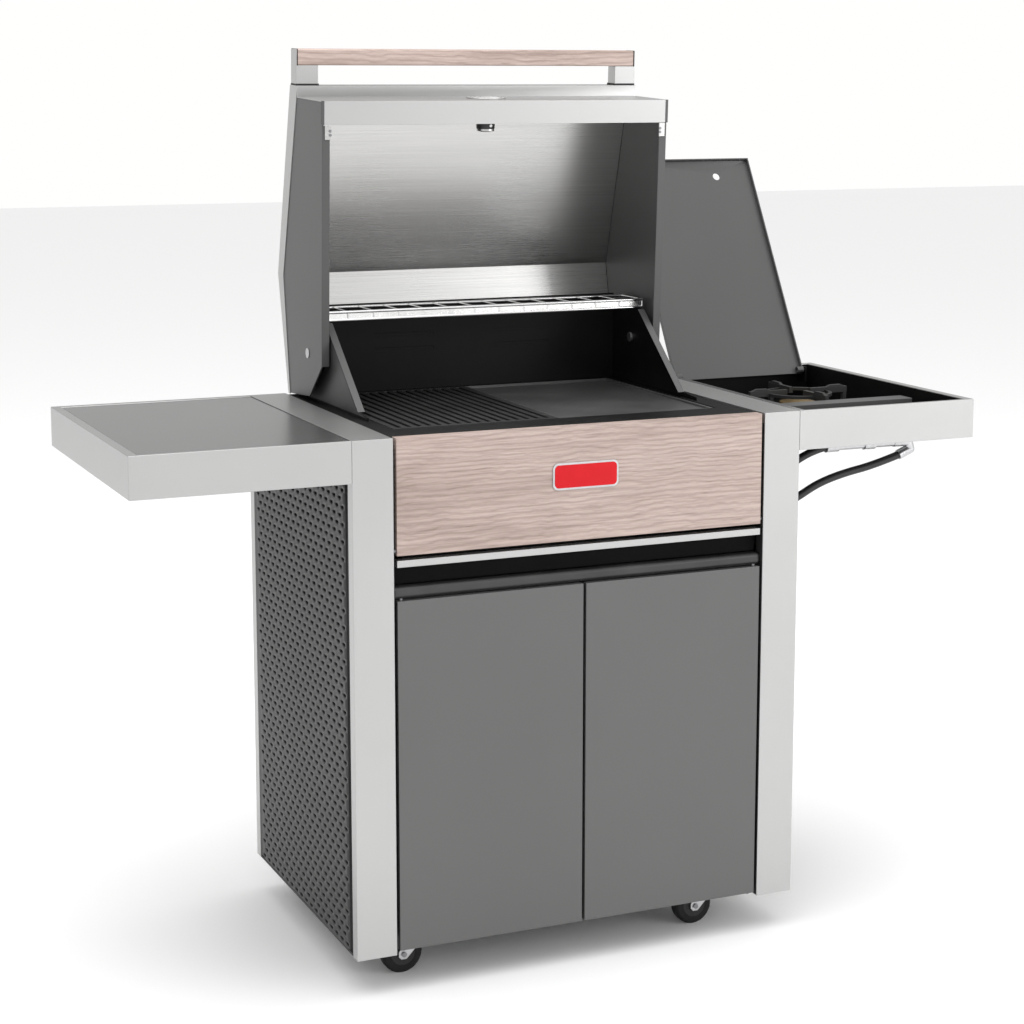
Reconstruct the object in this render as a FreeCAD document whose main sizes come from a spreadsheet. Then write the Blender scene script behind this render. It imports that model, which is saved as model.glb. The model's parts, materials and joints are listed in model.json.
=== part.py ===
import FreeCAD, Part
import math
import os
import re

import Sketcher

# Three-burner trolley barbecue with two side shelves, a hinged roasting hood and a side burner.
# Millimetres, +Z up, +X to the right of someone facing the doors, who stands on the -Y side.
# The origin is on the floor under the middle of the object's box.
# In every piece's own numbers, y counts backwards from the front faces of the legs.

doc = FreeCAD.newDocument("gas_barbecue")

SIZES = {
    # trolley frame
    "setback": 338.8, "leg_spacing": 720, "leg_width": 61, "leg_depth": 20, "table_height": 820.5,
    "leg_foot": 58, "frame_depth": 495, "rail_drop": 20, "bottom_rail": 80, "side_sheet": 1.5,
    "base_height": 78, "base_sheet": 2, "back_sheet": 2, "cabinet_drop": 216.5,
    # doors, fascia, tray and the rail between them
    "front_gap": 5, "door_gap": 4.5, "door_thick": 16, "door_sheet": 1.5, "door_foot": 64,
    "door_drop": 235.5, "door_pin_inset": 7.5, "hinge_pin": 3, "pin_play": 0.05,
    "finger_rail_height": 17, "finger_rail_inset": 6, "finger_rail_depth": 28,
    "fascia_drop": 169.5, "fascia_height": 169, "fascia_thick": 18, "fascia_pin_inset": 6.5,
    "badge_width": 106, "badge_height": 40, "badge_thick": 2.4,
    "pull_drop": 186.5, "pull_height": 10, "pull_depth": 16, "tray_drop": 208.5, "tray_depth": 400,
    "tray_wall": 1.2, "tray_inset": 26, "tray_side_gap": 22, "runner_sheet": 2, "tray_play": 1,
    # firebox, cooktop and gas train
    "rim_thick": 12, "rim_gap": 0.7, "rim_setback": 2, "plate_front": 92, "plate_back": 474,
    "plate_reach": 265, "plate_gap": 1.5, "plate_play": 2, "firebox_drop": 158.5, "firebox_wall": 2,
    "firebox_reach": 285, "firebox_ledge": 12, "bar_count": 15, "bar_width": 9, "grill_rim": 10,
    "plate_lip": 5, "burner_radius": 16, "burner_wall": 1.5, "burner_pitch": 178, "burner_drop": 82,
    "tamer_width": 90, "tamer_sheet": 1.6, "tamer_rise": 34, "panel_back": 52, "panel_sheet": 1.5,
    "panel_height": 126, "knob_drop": 82.5, "knob_radius": 21, "knob_depth": 22, "stem_radius": 4,
    "stem_length": 22, "knob_pitch": 136, "valve_radius": 11, "valve_length": 34,
    "manifold_radius": 9, "igniter_radius": 9, "igniter_depth": 14, "igniter_travel": 4,
    # windshield and warming rack
    "shield_reach": 275, "shield_sheet": 2, "shield_rise": 124.5, "shield_back": 475, "wing_top": 115,
    "wing_toe": 172, "wing_foot": 215, "wing_flange": 11, "wall_rise": 17, "louvre_length": 102,
    "louvre_height": 5, "louvre_side": 52, "louvre_drop": 38, "louvre_pitch": 24,
    "rack_reach": 277, "rack_front": 371, "rack_depth": 74, "rack_rise": 139.5,
    "rail_wire": 2.4, "cross_wire": 1.5, "rack_wires": 14, "strip_sheet": 0.8,
    # roasting hood, told in its closed place from its pivot: back is +, front is -
    "pivot_back": 402, "pivot_rise": 74.5, "pivot_bolt": 5, "hood_open": 87.3, "hood_reach": 292,
    "hood_sheet": 1.2, "hood_side_sheet": 2.5, "hood_front": 394, "hood_foot": 69.5, "brow": 17,
    "brow_foot": 49, "brow_height": 36, "crest_front": 107, "crest_rise": 149, "hood_rear": 80,
    "rear_rise": 95, "hood_lip": 36, "liner_inset": 12, "liner_sheet": 1, "flange_width": 10,
    "heel_front": 11, "heel_back": 67, "heel_rise": 9, "handle_rise": 31, "handle_deep": 26,
    "handle_high": 25, "post_width": 36, "gauge_radius": 32, "gauge_stem": 14, "gauge_face": 1.5,
    "stem_reach": 52,
    # side shelves and side burner
    "shelf_reach": 316, "shelf_drop": 61, "shelf_sheet": 2, "lip_side": 14, "lip_front": 6,
    "lip_rear": 13, "panel_gap": 0.5, "insert_thick": 8, "insert_dip": 0.8, "well_depth": 58,
    "well_wall": 1.5, "well_strip": 6, "ring_radius": 42, "ring_height": 22,
    "ring_cap": 30, "ring_back": 262, "ring_side": 152, "trivet_arm": 92, "trivet_bar": 7,
    "trivet_top": 8, "cross_front": 112, "cross_depth": 34, "lid_left": 30,
    "lid_width": 252, "lid_length": 418, "lid_sheet": 2, "lid_flange": 9, "lid_open": 120,
    "lid_hinge_back": 465, "lid_hinge_dip": 7, "lid_hole": 7, "lid_hole_side": 182,
    "lid_hole_inset": 33, "hose_radius": 6.2, "tee_radius": 9,
    "hose_back": 104, "supply_drop": 172.5, "link_drop": 116.5, "tee_drop": 79, "tee_side": 124,
    "elbow_dip": 13,
    # casters
    "wheel_radius": 31.5, "wheel_width": 21, "king_side": 245, "king_inset": 76, "trail": 21,
    "axle_radius": 4, "fork_sheet": 2.5, "fork_gap": 2.5, "king_radius": 9, "plate_side": 58,
    "mount_sheet": 3, "race_height": 5,
}

sheet = doc.addObject("Spreadsheet::Sheet", "Sizes")
for row, (alias, number_value) in enumerate(SIZES.items(), start=1):
    sheet.set(f"A{row}", alias)
    sheet.set(f"B{row}", str(number_value))
    sheet.setAlias(f"B{row}", alias)
doc.recompute()

# Heights that follow the table
CABINET_TOP = "(table_height - cabinet_drop)"
DOOR_TOP = "(table_height - door_drop)"
TRAY_FOOT = "(table_height - tray_drop)"
PULL_FOOT = "(table_height - pull_drop)"
FASCIA_FOOT = "(table_height - fascia_drop)"
FIREBOX_FOOT = "(table_height - firebox_drop)"
KNOB_HEIGHT = "(table_height - knob_drop)"
SUPPLY_HEIGHT = "(table_height - supply_drop)"
LINK_HEIGHT = "(table_height - link_drop)"
SHIELD_TOP = "(table_height + shield_rise)"
RACK_TOP = "(table_height + rack_rise)"
PIVOT_HEIGHT = "(table_height + pivot_rise)"

NODES = []


def bound(text):
    """An expression in plain size names, with each name pointed at its cell."""
    return re.sub(r"[a-z]+(_[a-z]+)*", lambda m: f"Sizes.{m[0]}" if m[0] in SIZES else m[0], str(text))


def number(text):
    """The value in millimetres or degrees of an expression in size names."""
    result = sheet.evalExpression(bound(text))
    return float(result.Value if hasattr(result, "Value") else result)


def node(obj, name):
    """Names a finished sub-part and puts it on the list of files."""
    obj.Label = name
    NODES.append(obj)
    return obj


def place(obj, x, y, z, own=False):
    """Binds a place: y counts from the legs' front faces, or from the piece's own hinge."""
    obj.setExpression("Placement.Base.x", bound(x))
    obj.setExpression("Placement.Base.y", bound(y if own else f"({y}) - setback"))
    obj.setExpression("Placement.Base.z", bound(z))
    return obj


def slab(x, y, z, own=False, name="slab"):
    """A box between pairs of expressions."""
    obj = doc.addObject("Part::Box", name)
    for side, (low, high) in zip(("Length", "Width", "Height"), (x, y, z)):
        obj.setExpression(side, bound(f"({high}) - ({low})"))
    return place(obj, x[0], y[0], z[0], own)


TURNS = {"x": FreeCAD.Rotation(FreeCAD.Vector(0, 1, 0), 90), "z": FreeCAD.Rotation(),
         "y": FreeCAD.Rotation(FreeCAD.Vector(1, 0, 0), -90)}


def rod(axis, start, radius, length, own=False, name="rod"):
    """A round bar along +X, +Y or +Z from its start point."""
    obj = doc.addObject("Part::Cylinder", name)
    obj.setExpression("Radius", bound(radius))
    obj.setExpression("Height", bound(length))
    obj.Placement = FreeCAD.Placement(FreeCAD.Vector(), TURNS[axis])
    return place(obj, *start, own)


def ball(middle, radius, name="ball"):
    obj = doc.addObject("Part::Sphere", name)
    obj.setExpression("Radius", bound(radius))
    return place(obj, *middle)


def fuse(parts, name="fused"):
    obj = doc.addObject("Part::MultiFuse", name)
    obj.Shapes = parts
    obj.Refine = True
    return obj


def cut(base, tools, name="cut"):
    obj = doc.addObject("Part::Cut", name)
    obj.Base = base
    obj.Tool = tools[0] if len(tools) == 1 else fuse(tools, "tools")
    return obj


def together(parts, name="group"):
    """Separate solids that share one node."""
    obj = doc.addObject("Part::Compound", name)
    obj.Links = parts
    return obj


def mirrored(obj, name="mirrored"):
    """The same piece on the other side of the middle plane."""
    copy = doc.addObject("Part::Mirroring", name)
    copy.Source = obj
    copy.Base = FreeCAD.Vector(0, 0, 0)
    copy.Normal = FreeCAD.Vector(1, 0, 0)
    return copy


def plane(body, role):
    return next(f for f in body.Origin.OriginFeatures if f.Role == role)


def profile(body, role, points, offset="0", name="outline"):
    """A closed outline whose corners are bound to expressions, on one of the body's own planes."""
    sketch = body.newObject("Sketcher::SketchObject", name)
    sketch.AttachmentSupport = [(plane(body, role), "")]
    sketch.MapMode = "FlatFace"
    sketch.setExpression("AttachmentOffset.Base.z", bound(offset))
    corners = [FreeCAD.Vector(number(a), number(b), 0) for a, b in points]
    count = len(corners)
    for i in range(count):
        sketch.addGeometry(Part.LineSegment(corners[i], corners[(i + 1) % count]))
    for i in range(count):
        sketch.addConstraint(Sketcher.Constraint("Coincident", i, 2, (i + 1) % count, 1))
    for i, (a, b) in enumerate(points):
        for kind, text, start in (("DistanceX", a, corners[i].x), ("DistanceY", b, corners[i].y)):
            index = sketch.addConstraint(Sketcher.Constraint(kind, -1, 1, i, 1, start))
            sketch.setExpression(f"Constraints[{index}]", bound(text))
    return sketch


def plate(points, low, high, own=False, name="plate"):
    """A flat piece with a side-view outline (y, z), padded along X from low to high."""
    body = doc.addObject("PartDesign::Body", name)
    pad = body.newObject("PartDesign::Pad", f"{name}_pad")
    sketch = profile(body, "YZ_Plane", points, low)
    pad.Profile = sketch
    pad.setExpression("Length", bound(f"({high}) - ({low})"))
    body.Tip = pad
    if not own:
        body.setExpression("Placement.Base.y", bound("-setback"))
    return body


def turned(points, start, axis="z", name="turned"):
    """A lathe-shaped piece: outline of (radius, height) corners, turned about its own axis."""
    body = doc.addObject("PartDesign::Body", name)
    turn = body.newObject("PartDesign::Revolution", f"{name}_turn")
    sketch = profile(body, "XZ_Plane", points)
    turn.Profile = sketch
    turn.ReferenceAxis = (sketch, ["V_Axis"])
    turn.Angle = 360
    body.Tip = turn
    body.Placement = FreeCAD.Placement(FreeCAD.Vector(), TURNS[axis])
    return place(body, *start)


def hang(obj, angle="hood_open", x="0", y="pivot_back", z=PIVOT_HEIGHT):
    """Hangs a piece drawn closed, in its hinge's own frame, on that hinge, swung open."""
    obj.Placement = FreeCAD.Placement(FreeCAD.Vector(), FreeCAD.Rotation(FreeCAD.Vector(-1, 0, 0), 1))
    obj.setExpression("Placement.Rotation.Angle", bound(angle))
    return place(obj, x, y, z)


def feature(shape, name="shape"):
    obj = doc.addObject("Part::Feature", name)
    obj.Shape = shape
    return obj


def bent_sheet(points, thickness, low, high, name="sheet"):
    """Folded sheet metal: an open side-view line (y, z), thickened inwards and spread along X."""
    corners = [FreeCAD.Vector(number(low), number(a), number(b)) for a, b in points]
    line = Part.makePolygon(corners)
    band = line.makeOffset2D(-number(thickness), 2, True, True, False)
    return feature(band.extrude(FreeCAD.Vector(number(f"({high}) - ({low})"), 0, 0)), name)


# ---- Trolley frame: two folded side frames, perforated side panels, floor and back -------------------

OUT = "leg_spacing / 2"
IN = "leg_spacing / 2 - leg_width"


def side_frame():
    """Front leg, top rail and rear leg as one folded band, with a bottom rail between the legs."""
    x = (IN, OUT)
    outer = slab(x, ("0", "frame_depth"), ("leg_foot", "table_height"))
    window = slab((f"{IN} - 1", f"{OUT} + 1"), ("leg_depth", "frame_depth - leg_depth"),
                  ("leg_foot - 1", "table_height - rail_drop"))
    inside = (f"{IN} + side_sheet", f"{OUT} - side_sheet")
    front = slab(inside, ("side_sheet", "leg_depth - side_sheet"),
                 ("leg_foot - 1", "table_height - rail_drop"))
    rear = slab(inside, ("frame_depth - leg_depth + side_sheet", "frame_depth - side_sheet"),
                ("leg_foot - 1", "table_height - rail_drop"))
    top = slab(inside, ("side_sheet", "frame_depth - side_sheet"),
               ("table_height - rail_drop + side_sheet", "table_height - side_sheet"))
    hollow = fuse([front, rear, top] + [slab(inside, y, ("table_height - 2 * rail_drop", "table_height - 3"))
                                        for y in (("side_sheet", "leg_depth - side_sheet"),
                                                  ("frame_depth - leg_depth + side_sheet",
                                                   "frame_depth - side_sheet"))])
    band = cut(outer, [window, hollow])
    rail = slab((IN, f"{OUT} - side_sheet"), ("leg_depth", "frame_depth - leg_depth"),
                ("bottom_rail", "bottom_rail + rail_drop"))
    return fuse([band, rail])


right_frame = side_frame()
node(right_frame, "right_side_frame")
node(mirrored(right_frame), "left_side_frame")

right_panel = slab((f"{OUT} - side_sheet", OUT), ("leg_depth", "frame_depth - leg_depth"),
                   ("leg_foot + 1", "table_height - rail_drop"))
node(mirrored(right_panel), "left_side_panel")
gland_holes = [rod("x", (f"{OUT} - 2 * side_sheet", "hose_back", height), "hose_radius + 2.05",
                   "3 * side_sheet")
               for height in (SUPPLY_HEIGHT, LINK_HEIGHT)]
node(cut(right_panel, gland_holes), "right_side_panel")

base_floor = slab((f"-({IN})", IN), ("leg_depth + 2", "frame_depth - leg_depth"),
                  ("base_height", "base_height + base_sheet"))
base_lip = slab((f"-({IN})", IN), ("leg_depth + 2", "leg_depth + 2 + base_sheet"),
                ("base_height", "base_height + 14"))
node(fuse([base_floor, base_lip]), "base_panel")
node(slab((f"-({IN})", IN), ("frame_depth - leg_depth", "frame_depth - leg_depth + back_sheet"),
          ("base_height", CABINET_TOP)), "back_panel")

FINGER_Z = (f"{CABINET_TOP} - finger_rail_height", CABINET_TOP)
finger_bar = slab((f"-({IN})", IN), ("finger_rail_inset", "finger_rail_inset + finger_rail_depth"), FINGER_Z)
finger_groove = slab((f"-({IN}) + 8", f"{IN} - 8"), ("finger_rail_inset + 8", "finger_rail_depth"),
                     (f"{CABINET_TOP} - finger_rail_height - 1", f"{CABINET_TOP} - 5"))
node(cut(finger_bar, [finger_groove]), "finger_rail")


# ---- Drip tray on two runners ------------------------------------------------------------------------

TRAY_X = f"{IN} - tray_side_gap"
runner_wall = slab((f"{TRAY_X} + tray_play", f"{TRAY_X} + tray_play + runner_sheet"),
                   ("leg_depth + 20", "frame_depth - leg_depth"), (f"{TRAY_FOOT} - 3", f"{PULL_FOOT} + 14"))
runner_ledge = slab((f"{TRAY_X} - 10", f"{TRAY_X} + tray_play + runner_sheet"),
                    ("leg_depth + 20", "frame_depth - leg_depth"), (f"{TRAY_FOOT} - 5", f"{TRAY_FOOT} - 3"))
runner_arm = slab((f"{TRAY_X} + tray_play", IN), ("leg_depth + 20", "leg_depth + 40"),
                  (f"{PULL_FOOT} + 10", f"{PULL_FOOT} + 14"))
runner_rear_arm = slab((f"{TRAY_X} + tray_play", IN),
                       ("frame_depth - leg_depth - 20", "frame_depth - leg_depth"),
                       (f"{PULL_FOOT} + 10", f"{PULL_FOOT} + 14"))
right_runner = fuse([runner_wall, runner_ledge, runner_arm, runner_rear_arm])
node(together([right_runner, mirrored(right_runner)]), "tray_runners")

TRAY_Y = ("tray_inset", "tray_inset + tray_depth")
TRAY_Z = (TRAY_FOOT, f"{PULL_FOOT} + pull_height - 1")
tray_outer = slab((f"-({TRAY_X})", TRAY_X), TRAY_Y, TRAY_Z)
tray_inner = slab((f"-({TRAY_X}) + tray_wall", f"{TRAY_X} - tray_wall"),
                  (f"{TRAY_Y[0]} + tray_wall", f"{TRAY_Y[1]} - tray_wall"),
                  (f"{TRAY_FOOT} + tray_wall", f"{PULL_FOOT} + pull_height + 1"))
node(cut(tray_outer, [tray_inner]), "drip_tray")
pull_bar = slab((f"-({IN}) + front_gap", f"{IN} - front_gap"), ("0", "pull_depth"),
                (PULL_FOOT, f"{PULL_FOOT} + pull_height"))
pull_stay = slab((f"-({TRAY_X}) + 40", f"{TRAY_X} - 40"), ("pull_depth", "tray_inset"),
                 (PULL_FOOT, f"{PULL_FOOT} + 4"))
node(fuse([pull_bar, pull_stay]), "tray_pull")


# ---- Firebox, cooktop rim, grill and plate, burners --------------------------------------------------

RIM_Z = ("table_height - rim_thick - 2", "table_height - 2")
rim_ring = slab((f"-({IN}) + rim_gap", f"{IN} - rim_gap"),
                ("fascia_thick + rim_setback / 2", "frame_depth - rim_setback"), RIM_Z)
rim_hole = slab(("-plate_reach", "plate_reach"), ("plate_front", "plate_back"),
                ("table_height - 2 * rim_thick", "table_height"))
node(cut(rim_ring, [rim_hole]), "cooktop_rim")

FIRE_X = ("-firebox_reach", "firebox_reach")
FIRE_Y = ("plate_front - 4", "plate_back + 4")
fire_outer = slab(FIRE_X, FIRE_Y, (FIREBOX_FOOT, RIM_Z[0]))
fire_inner = slab(("-firebox_reach + firebox_wall", "firebox_reach - firebox_wall"),
                  (f"{FIRE_Y[0]} + firebox_wall", f"{FIRE_Y[1]} - firebox_wall"),
                  (f"{FIREBOX_FOOT} + firebox_wall", f"{RIM_Z[0]} - firebox_wall"))
fire_mouth = slab(("-plate_reach + firebox_ledge", "plate_reach - firebox_ledge"),
                  ("plate_front + firebox_ledge", "plate_back - firebox_ledge"),
                  ("table_height - 3 * rim_thick", "table_height"))
fire_drain = slab(("-120", "120"), ("200", "360"),
                  (f"{FIREBOX_FOOT} - 1", f"{FIREBOX_FOOT} + firebox_wall + 1"))
BURNER_Z = "table_height - burner_drop"
burner_ports = [rod("y", (f"{i} * burner_pitch", "plate_front - 10", BURNER_Z),
                    "burner_radius + 1", "firebox_wall + 10") for i in (-1, 0, 1)]
node(cut(fire_outer, [fire_inner, fire_mouth, fire_drain] + burner_ports), "firebox")


def tube_burner(i):
    """A closed tube with an open venturi mouth at the front."""
    start = (f"{i} * burner_pitch", "plate_front - 6", BURNER_Z)
    bore_start = (start[0], "plate_front - 7", BURNER_Z)
    return cut(rod("y", start, "burner_radius", "plate_back - plate_front - 10"),
               [rod("y", bore_start, "burner_radius - burner_wall", "plate_back - plate_front - 12")])


node(together([tube_burner(i) for i in (-1, 0, 1)]), "tube_burners")


def flame_tamer(i):
    """An inverted V of sheet over a burner."""
    middle, reach = f"{i} * burner_pitch", "tamer_width / 2"
    rise, sheet_up = f"{BURNER_Z} + burner_radius + 6", "tamer_sheet * 1.4"
    points = [("-tamer_width / 2", "0"), ("0", "tamer_rise"), (reach, "0"), (reach, sheet_up),
              ("0", f"tamer_rise + {sheet_up}"), ("-tamer_width / 2", sheet_up)]
    body = doc.addObject("PartDesign::Body", "tamer")
    pad = body.newObject("PartDesign::Pad", "tamer_pad")
    pad.Profile = profile(body, "XZ_Plane", points)
    pad.Reversed = True
    pad.setExpression("Length", bound("plate_back - plate_front - 8"))
    body.Tip = pad
    return place(body, middle, "plate_front + 4", f"{rise} - 12")


node(together([flame_tamer(i) for i in (-1, 0, 1)]), "flame_tamers")

PLATE_Z = ("table_height - rim_thick - 2", "table_height - 2.5")


def cooking_half(side):
    low, high = ("-plate_reach + plate_play", "-plate_gap / 2") if side < 0 else \
                ("plate_gap / 2", "plate_reach - plate_play")
    return (low, high), ("plate_front + plate_play", "plate_back - plate_play")


grill_x, plate_y = cooking_half(-1)
ring_hole = slab((f"{grill_x[0]} + grill_rim", f"{grill_x[1]} - grill_rim"),
                 (f"{plate_y[0]} + grill_rim", f"{plate_y[1]} - grill_rim"),
                 (f"{PLATE_Z[0]} - 1", f"{PLATE_Z[1]} + 1"))
grill_ring = cut(slab(grill_x, plate_y, PLATE_Z), [ring_hole])
BAR_PITCH = f"(({grill_x[1]}) - ({grill_x[0]}) - 2 * grill_rim + bar_width) / (bar_count + 1)"
bars = [slab((f"{grill_x[0]} + grill_rim - bar_width + {i} * {BAR_PITCH}",
              f"{grill_x[0]} + grill_rim + {i} * {BAR_PITCH}"),
             (f"{plate_y[0]} + grill_rim - 1", f"{plate_y[1]} - grill_rim + 1"), PLATE_Z)
        for i in range(1, int(number("bar_count")) + 1)]
node(fuse([grill_ring] + bars), "grill_grate")

hot_x, hot_y = cooking_half(1)
hot_dish = slab((f"{hot_x[0]} + plate_lip", f"{hot_x[1]} - plate_lip"),
                (f"{hot_y[0]} + plate_lip", f"{hot_y[1]} - plate_lip"),
                (f"{PLATE_Z[1]} - 4", f"{PLATE_Z[1]} + 1"))
node(cut(slab(hot_x, hot_y, PLATE_Z), [hot_dish]), "hot_plate")


# ---- Controls behind the fascia ----------------------------------------------------------------------

PANEL_Y = ("panel_back", "panel_back + panel_sheet")
KNOB_PLACES = [("burner_knob_left", "-1.5 * knob_pitch"), ("burner_knob_middle", "-0.5 * knob_pitch"),
               ("burner_knob_right", "0.5 * knob_pitch"), ("side_burner_knob", "1.5 * knob_pitch")]
stem_holes = [rod("y", (x, "panel_back - 1", KNOB_HEIGHT), "stem_radius + 1", "panel_sheet + 2")
              for _, x in KNOB_PLACES]
igniter_hole = rod("y", ("0", "panel_back - 1", KNOB_HEIGHT), "igniter_radius - 2 + pin_play", "panel_sheet + 2")
panel_face = slab((f"-({IN}) + 1", f"{IN} - 1"), PANEL_Y, ("table_height - rim_thick - 2 - panel_height",
                                                          RIM_Z[0]))
node(cut(panel_face, stem_holes + [igniter_hole]), "control_panel")

valves = [cut(rod("y", (x, "panel_back + panel_sheet + 1", KNOB_HEIGHT), "valve_radius", "valve_length - 4"),
              [rod("y", (x, "panel_back + panel_sheet", KNOB_HEIGHT), "stem_radius + pin_play",
                   "stem_length - 2")])
          for _, x in KNOB_PLACES]
MANIFOLD_Z = f"{KNOB_HEIGHT} - valve_radius - manifold_radius + 2"
manifold = rod("x", ("-2 * knob_pitch", "panel_back + 22", MANIFOLD_Z), "manifold_radius",
               f"2 * knob_pitch + {OUT} - 30")
PIPE = "manifold_radius - 2"
PIPE_X = f"{OUT} - 30"
PIPE_Y = "panel_back + 22"
drop = rod("z", (PIPE_X, PIPE_Y, LINK_HEIGHT), PIPE, f"{MANIFOLD_Z} - {LINK_HEIGHT}")
cross = rod("y", (PIPE_X, PIPE_Y, LINK_HEIGHT), PIPE, "hose_back - panel_back - 22")
outlet = rod("x", (PIPE_X, "hose_back", LINK_HEIGHT), PIPE, "30 - 2 * side_sheet")
knees = [ball((PIPE_X, y, z), "manifold_radius - 1") for y, z in
         ((PIPE_Y, MANIFOLD_Z), (PIPE_Y, LINK_HEIGHT), ("hose_back", LINK_HEIGHT))]
node(fuse([manifold, drop, cross, outlet] + knees + valves), "gas_manifold")

for name, x in KNOB_PLACES:
    skirt = [("0", "0"), ("knob_radius", "0"), ("knob_radius", "4"), ("knob_radius - 5", "7"),
             ("knob_radius - 6", "knob_depth - 2"), ("knob_radius - 8", "knob_depth"), ("0", "knob_depth")]
    cap = turned(skirt, (x, "panel_back - 2", KNOB_HEIGHT), "y")
    cap.Placement.Rotation = FreeCAD.Rotation(FreeCAD.Vector(1, 0, 0), 90)
    stem = rod("y", (x, "panel_back - 3", KNOB_HEIGHT), "stem_radius", "stem_length - 4")
    node(fuse([cap, stem]), name)

button = rod("y", ("0", "panel_back - igniter_depth", KNOB_HEIGHT), "igniter_radius",
             "igniter_depth - igniter_travel - 1")
button_stem = rod("y", ("0", "panel_back - igniter_travel - 2", KNOB_HEIGHT), "igniter_radius - 2",
                  "igniter_travel + panel_sheet + 6")
node(fuse([button, button_stem]), "igniter_button")


# ---- Fascia board, doors and their pins --------------------------------------------------------------

BOARD_X = f"{IN} - front_gap"
FASCIA_PIN_Z = f"{FASCIA_FOOT} + fascia_pin_inset"
board = slab((f"-({BOARD_X})", BOARD_X), ("0", "fascia_thick"),
             (FASCIA_FOOT, f"{FASCIA_FOOT} + fascia_height"))
board_bores = [rod("x", (x, "fascia_pin_inset", FASCIA_PIN_Z), "hinge_pin + pin_play", "22")
               for x in (f"-({BOARD_X}) - 1", f"{BOARD_X} - 21")]
node(cut(board, board_bores), "fascia_board")
badge_z = f"{FASCIA_FOOT} + fascia_height * 0.57"
node(slab(("-badge_width / 2", "badge_width / 2"), ("-badge_thick", "0"),
          (f"{badge_z} - badge_height / 2", f"{badge_z} + badge_height / 2")), "badge")


def door(name):
    """A pan of folded sheet: face, four returns, and a boss for the hinge pin at each end."""
    x = ("door_gap / 2", BOARD_X)
    shell = slab(x, ("0", "door_thick"), ("door_foot", DOOR_TOP))
    hollow = slab((f"{x[0]} + door_sheet", f"{x[1]} - 2 * door_pin_inset"),
                  ("door_sheet", "door_thick - door_sheet"),
                  ("door_foot + door_sheet", f"{DOOR_TOP} - door_sheet"))
    bores = [rod("z", (f"{BOARD_X} - door_pin_inset", "door_thick / 2", z), "hinge_pin + pin_play", "20")
             for z in ("door_foot - 1", f"{DOOR_TOP} - 19")]
    return cut(shell, [hollow] + bores, name)


right_door = door("door")
node(right_door, "right_door")
node(mirrored(right_door), "left_door")

pins = []
for sign in ("-1", "1"):
    x = f"{sign} * ({BOARD_X} - door_pin_inset)"
    pins.append(rod("z", (x, "door_thick / 2", "door_foot - 3"), "hinge_pin", "18"))
    pins.append(rod("z", (x, "door_thick / 2", f"{DOOR_TOP} - 15"), "hinge_pin", "18"))
    low = f"{BOARD_X} - 18" if sign == "1" else f"-({BOARD_X}) - front_gap"
    pins.append(rod("x", (low, "fascia_pin_inset", FASCIA_PIN_Z), "hinge_pin", "18 + front_gap"))


# ---- Windshield and warming rack ---------------------------------------------------------------------

SHIELD_Z = ("table_height - 2", SHIELD_TOP)
shield_wall = slab(("-shield_reach", "shield_reach"), ("shield_back - shield_sheet", "shield_back"),
                   (SHIELD_Z[0], f"{SHIELD_TOP} + wall_rise"))
louvres = [slab((x, f"{x} + louvre_length"), ("shield_back - 2 * shield_sheet", "shield_back + 1"),
                (z, f"{z} + louvre_height"))
           for x in ("-louvre_side - louvre_length", "louvre_side")
           for z in (f"{SHIELD_TOP} - louvre_drop", f"{SHIELD_TOP} - louvre_drop - louvre_pitch")]
WING_FRONT = "shield_back - wing_top"
wing_outline = [("shield_back - shield_sheet", SHIELD_Z[0]), ("shield_back - shield_sheet", SHIELD_TOP),
                (WING_FRONT, SHIELD_TOP), ("wing_foot", "table_height + 6"),
                ("wing_toe", "table_height + 3"), ("wing_toe", SHIELD_Z[0])]
wing = plate(wing_outline, "shield_reach - shield_sheet", "shield_reach")
wing_bore = rod("x", ("shield_reach - 3", "pivot_back", PIVOT_HEIGHT), "pivot_bolt", "4")
flange_outline = [(WING_FRONT, SHIELD_TOP), ("wing_foot", "table_height + 6"),
                  ("wing_foot + shield_sheet * 1.3", "table_height + 6"),
                  (f"{WING_FRONT} + shield_sheet * 1.3", SHIELD_TOP)]
wing_edge = plate(flange_outline, "shield_reach - wing_flange", "shield_reach")
right_wing = fuse([cut(wing, [wing_bore]), wing_edge])
node(fuse([cut(shield_wall, louvres), right_wing, mirrored(right_wing)]), "windshield")

bolt = fuse([rod("x", ("shield_reach - 6", "pivot_back", PIVOT_HEIGHT), "pivot_bolt + 3", "4"),
             rod("x", ("shield_reach - 6", "pivot_back", PIVOT_HEIGHT), "pivot_bolt",
                 "hood_reach - shield_reach + 6"),
             rod("x", ("hood_reach - hood_sheet + 0.1", "pivot_back", PIVOT_HEIGHT), "pivot_bolt + 3",
                 "hood_sheet - 0.1")])
node(together([bolt, mirrored(bolt)]), "hood_pivot_bolts")

RACK_BACK = "rack_front + rack_depth"
RACK_LOW = f"{SHIELD_TOP} + rail_wire + 0.3"
rack_wires = [rod("x", ("-rack_reach", y, z), "rail_wire", "2 * rack_reach")
              for y, z in (("rack_front", RACK_TOP), (RACK_BACK, RACK_TOP), ("rack_front", RACK_LOW))]
rack_wires.append(slab(("-rack_reach", "rack_reach"),
                       ("rack_front - strip_sheet / 2", "rack_front + strip_sheet / 2"),
                       (RACK_LOW, RACK_TOP)))
WIRE_STEP = "2 * rack_reach / (rack_wires - 1)"
for i in range(int(number("rack_wires"))):
    x = f"-rack_reach + {i} * {WIRE_STEP}"
    rack_wires.append(rod("y", (x, "rack_front", RACK_TOP), "cross_wire", "rack_depth"))
    rack_wires.append(rod("z", (x, "rack_front", RACK_LOW), "cross_wire", f"{RACK_TOP} - ({RACK_LOW})"))
node(fuse(rack_wires), "warming_rack")


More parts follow.
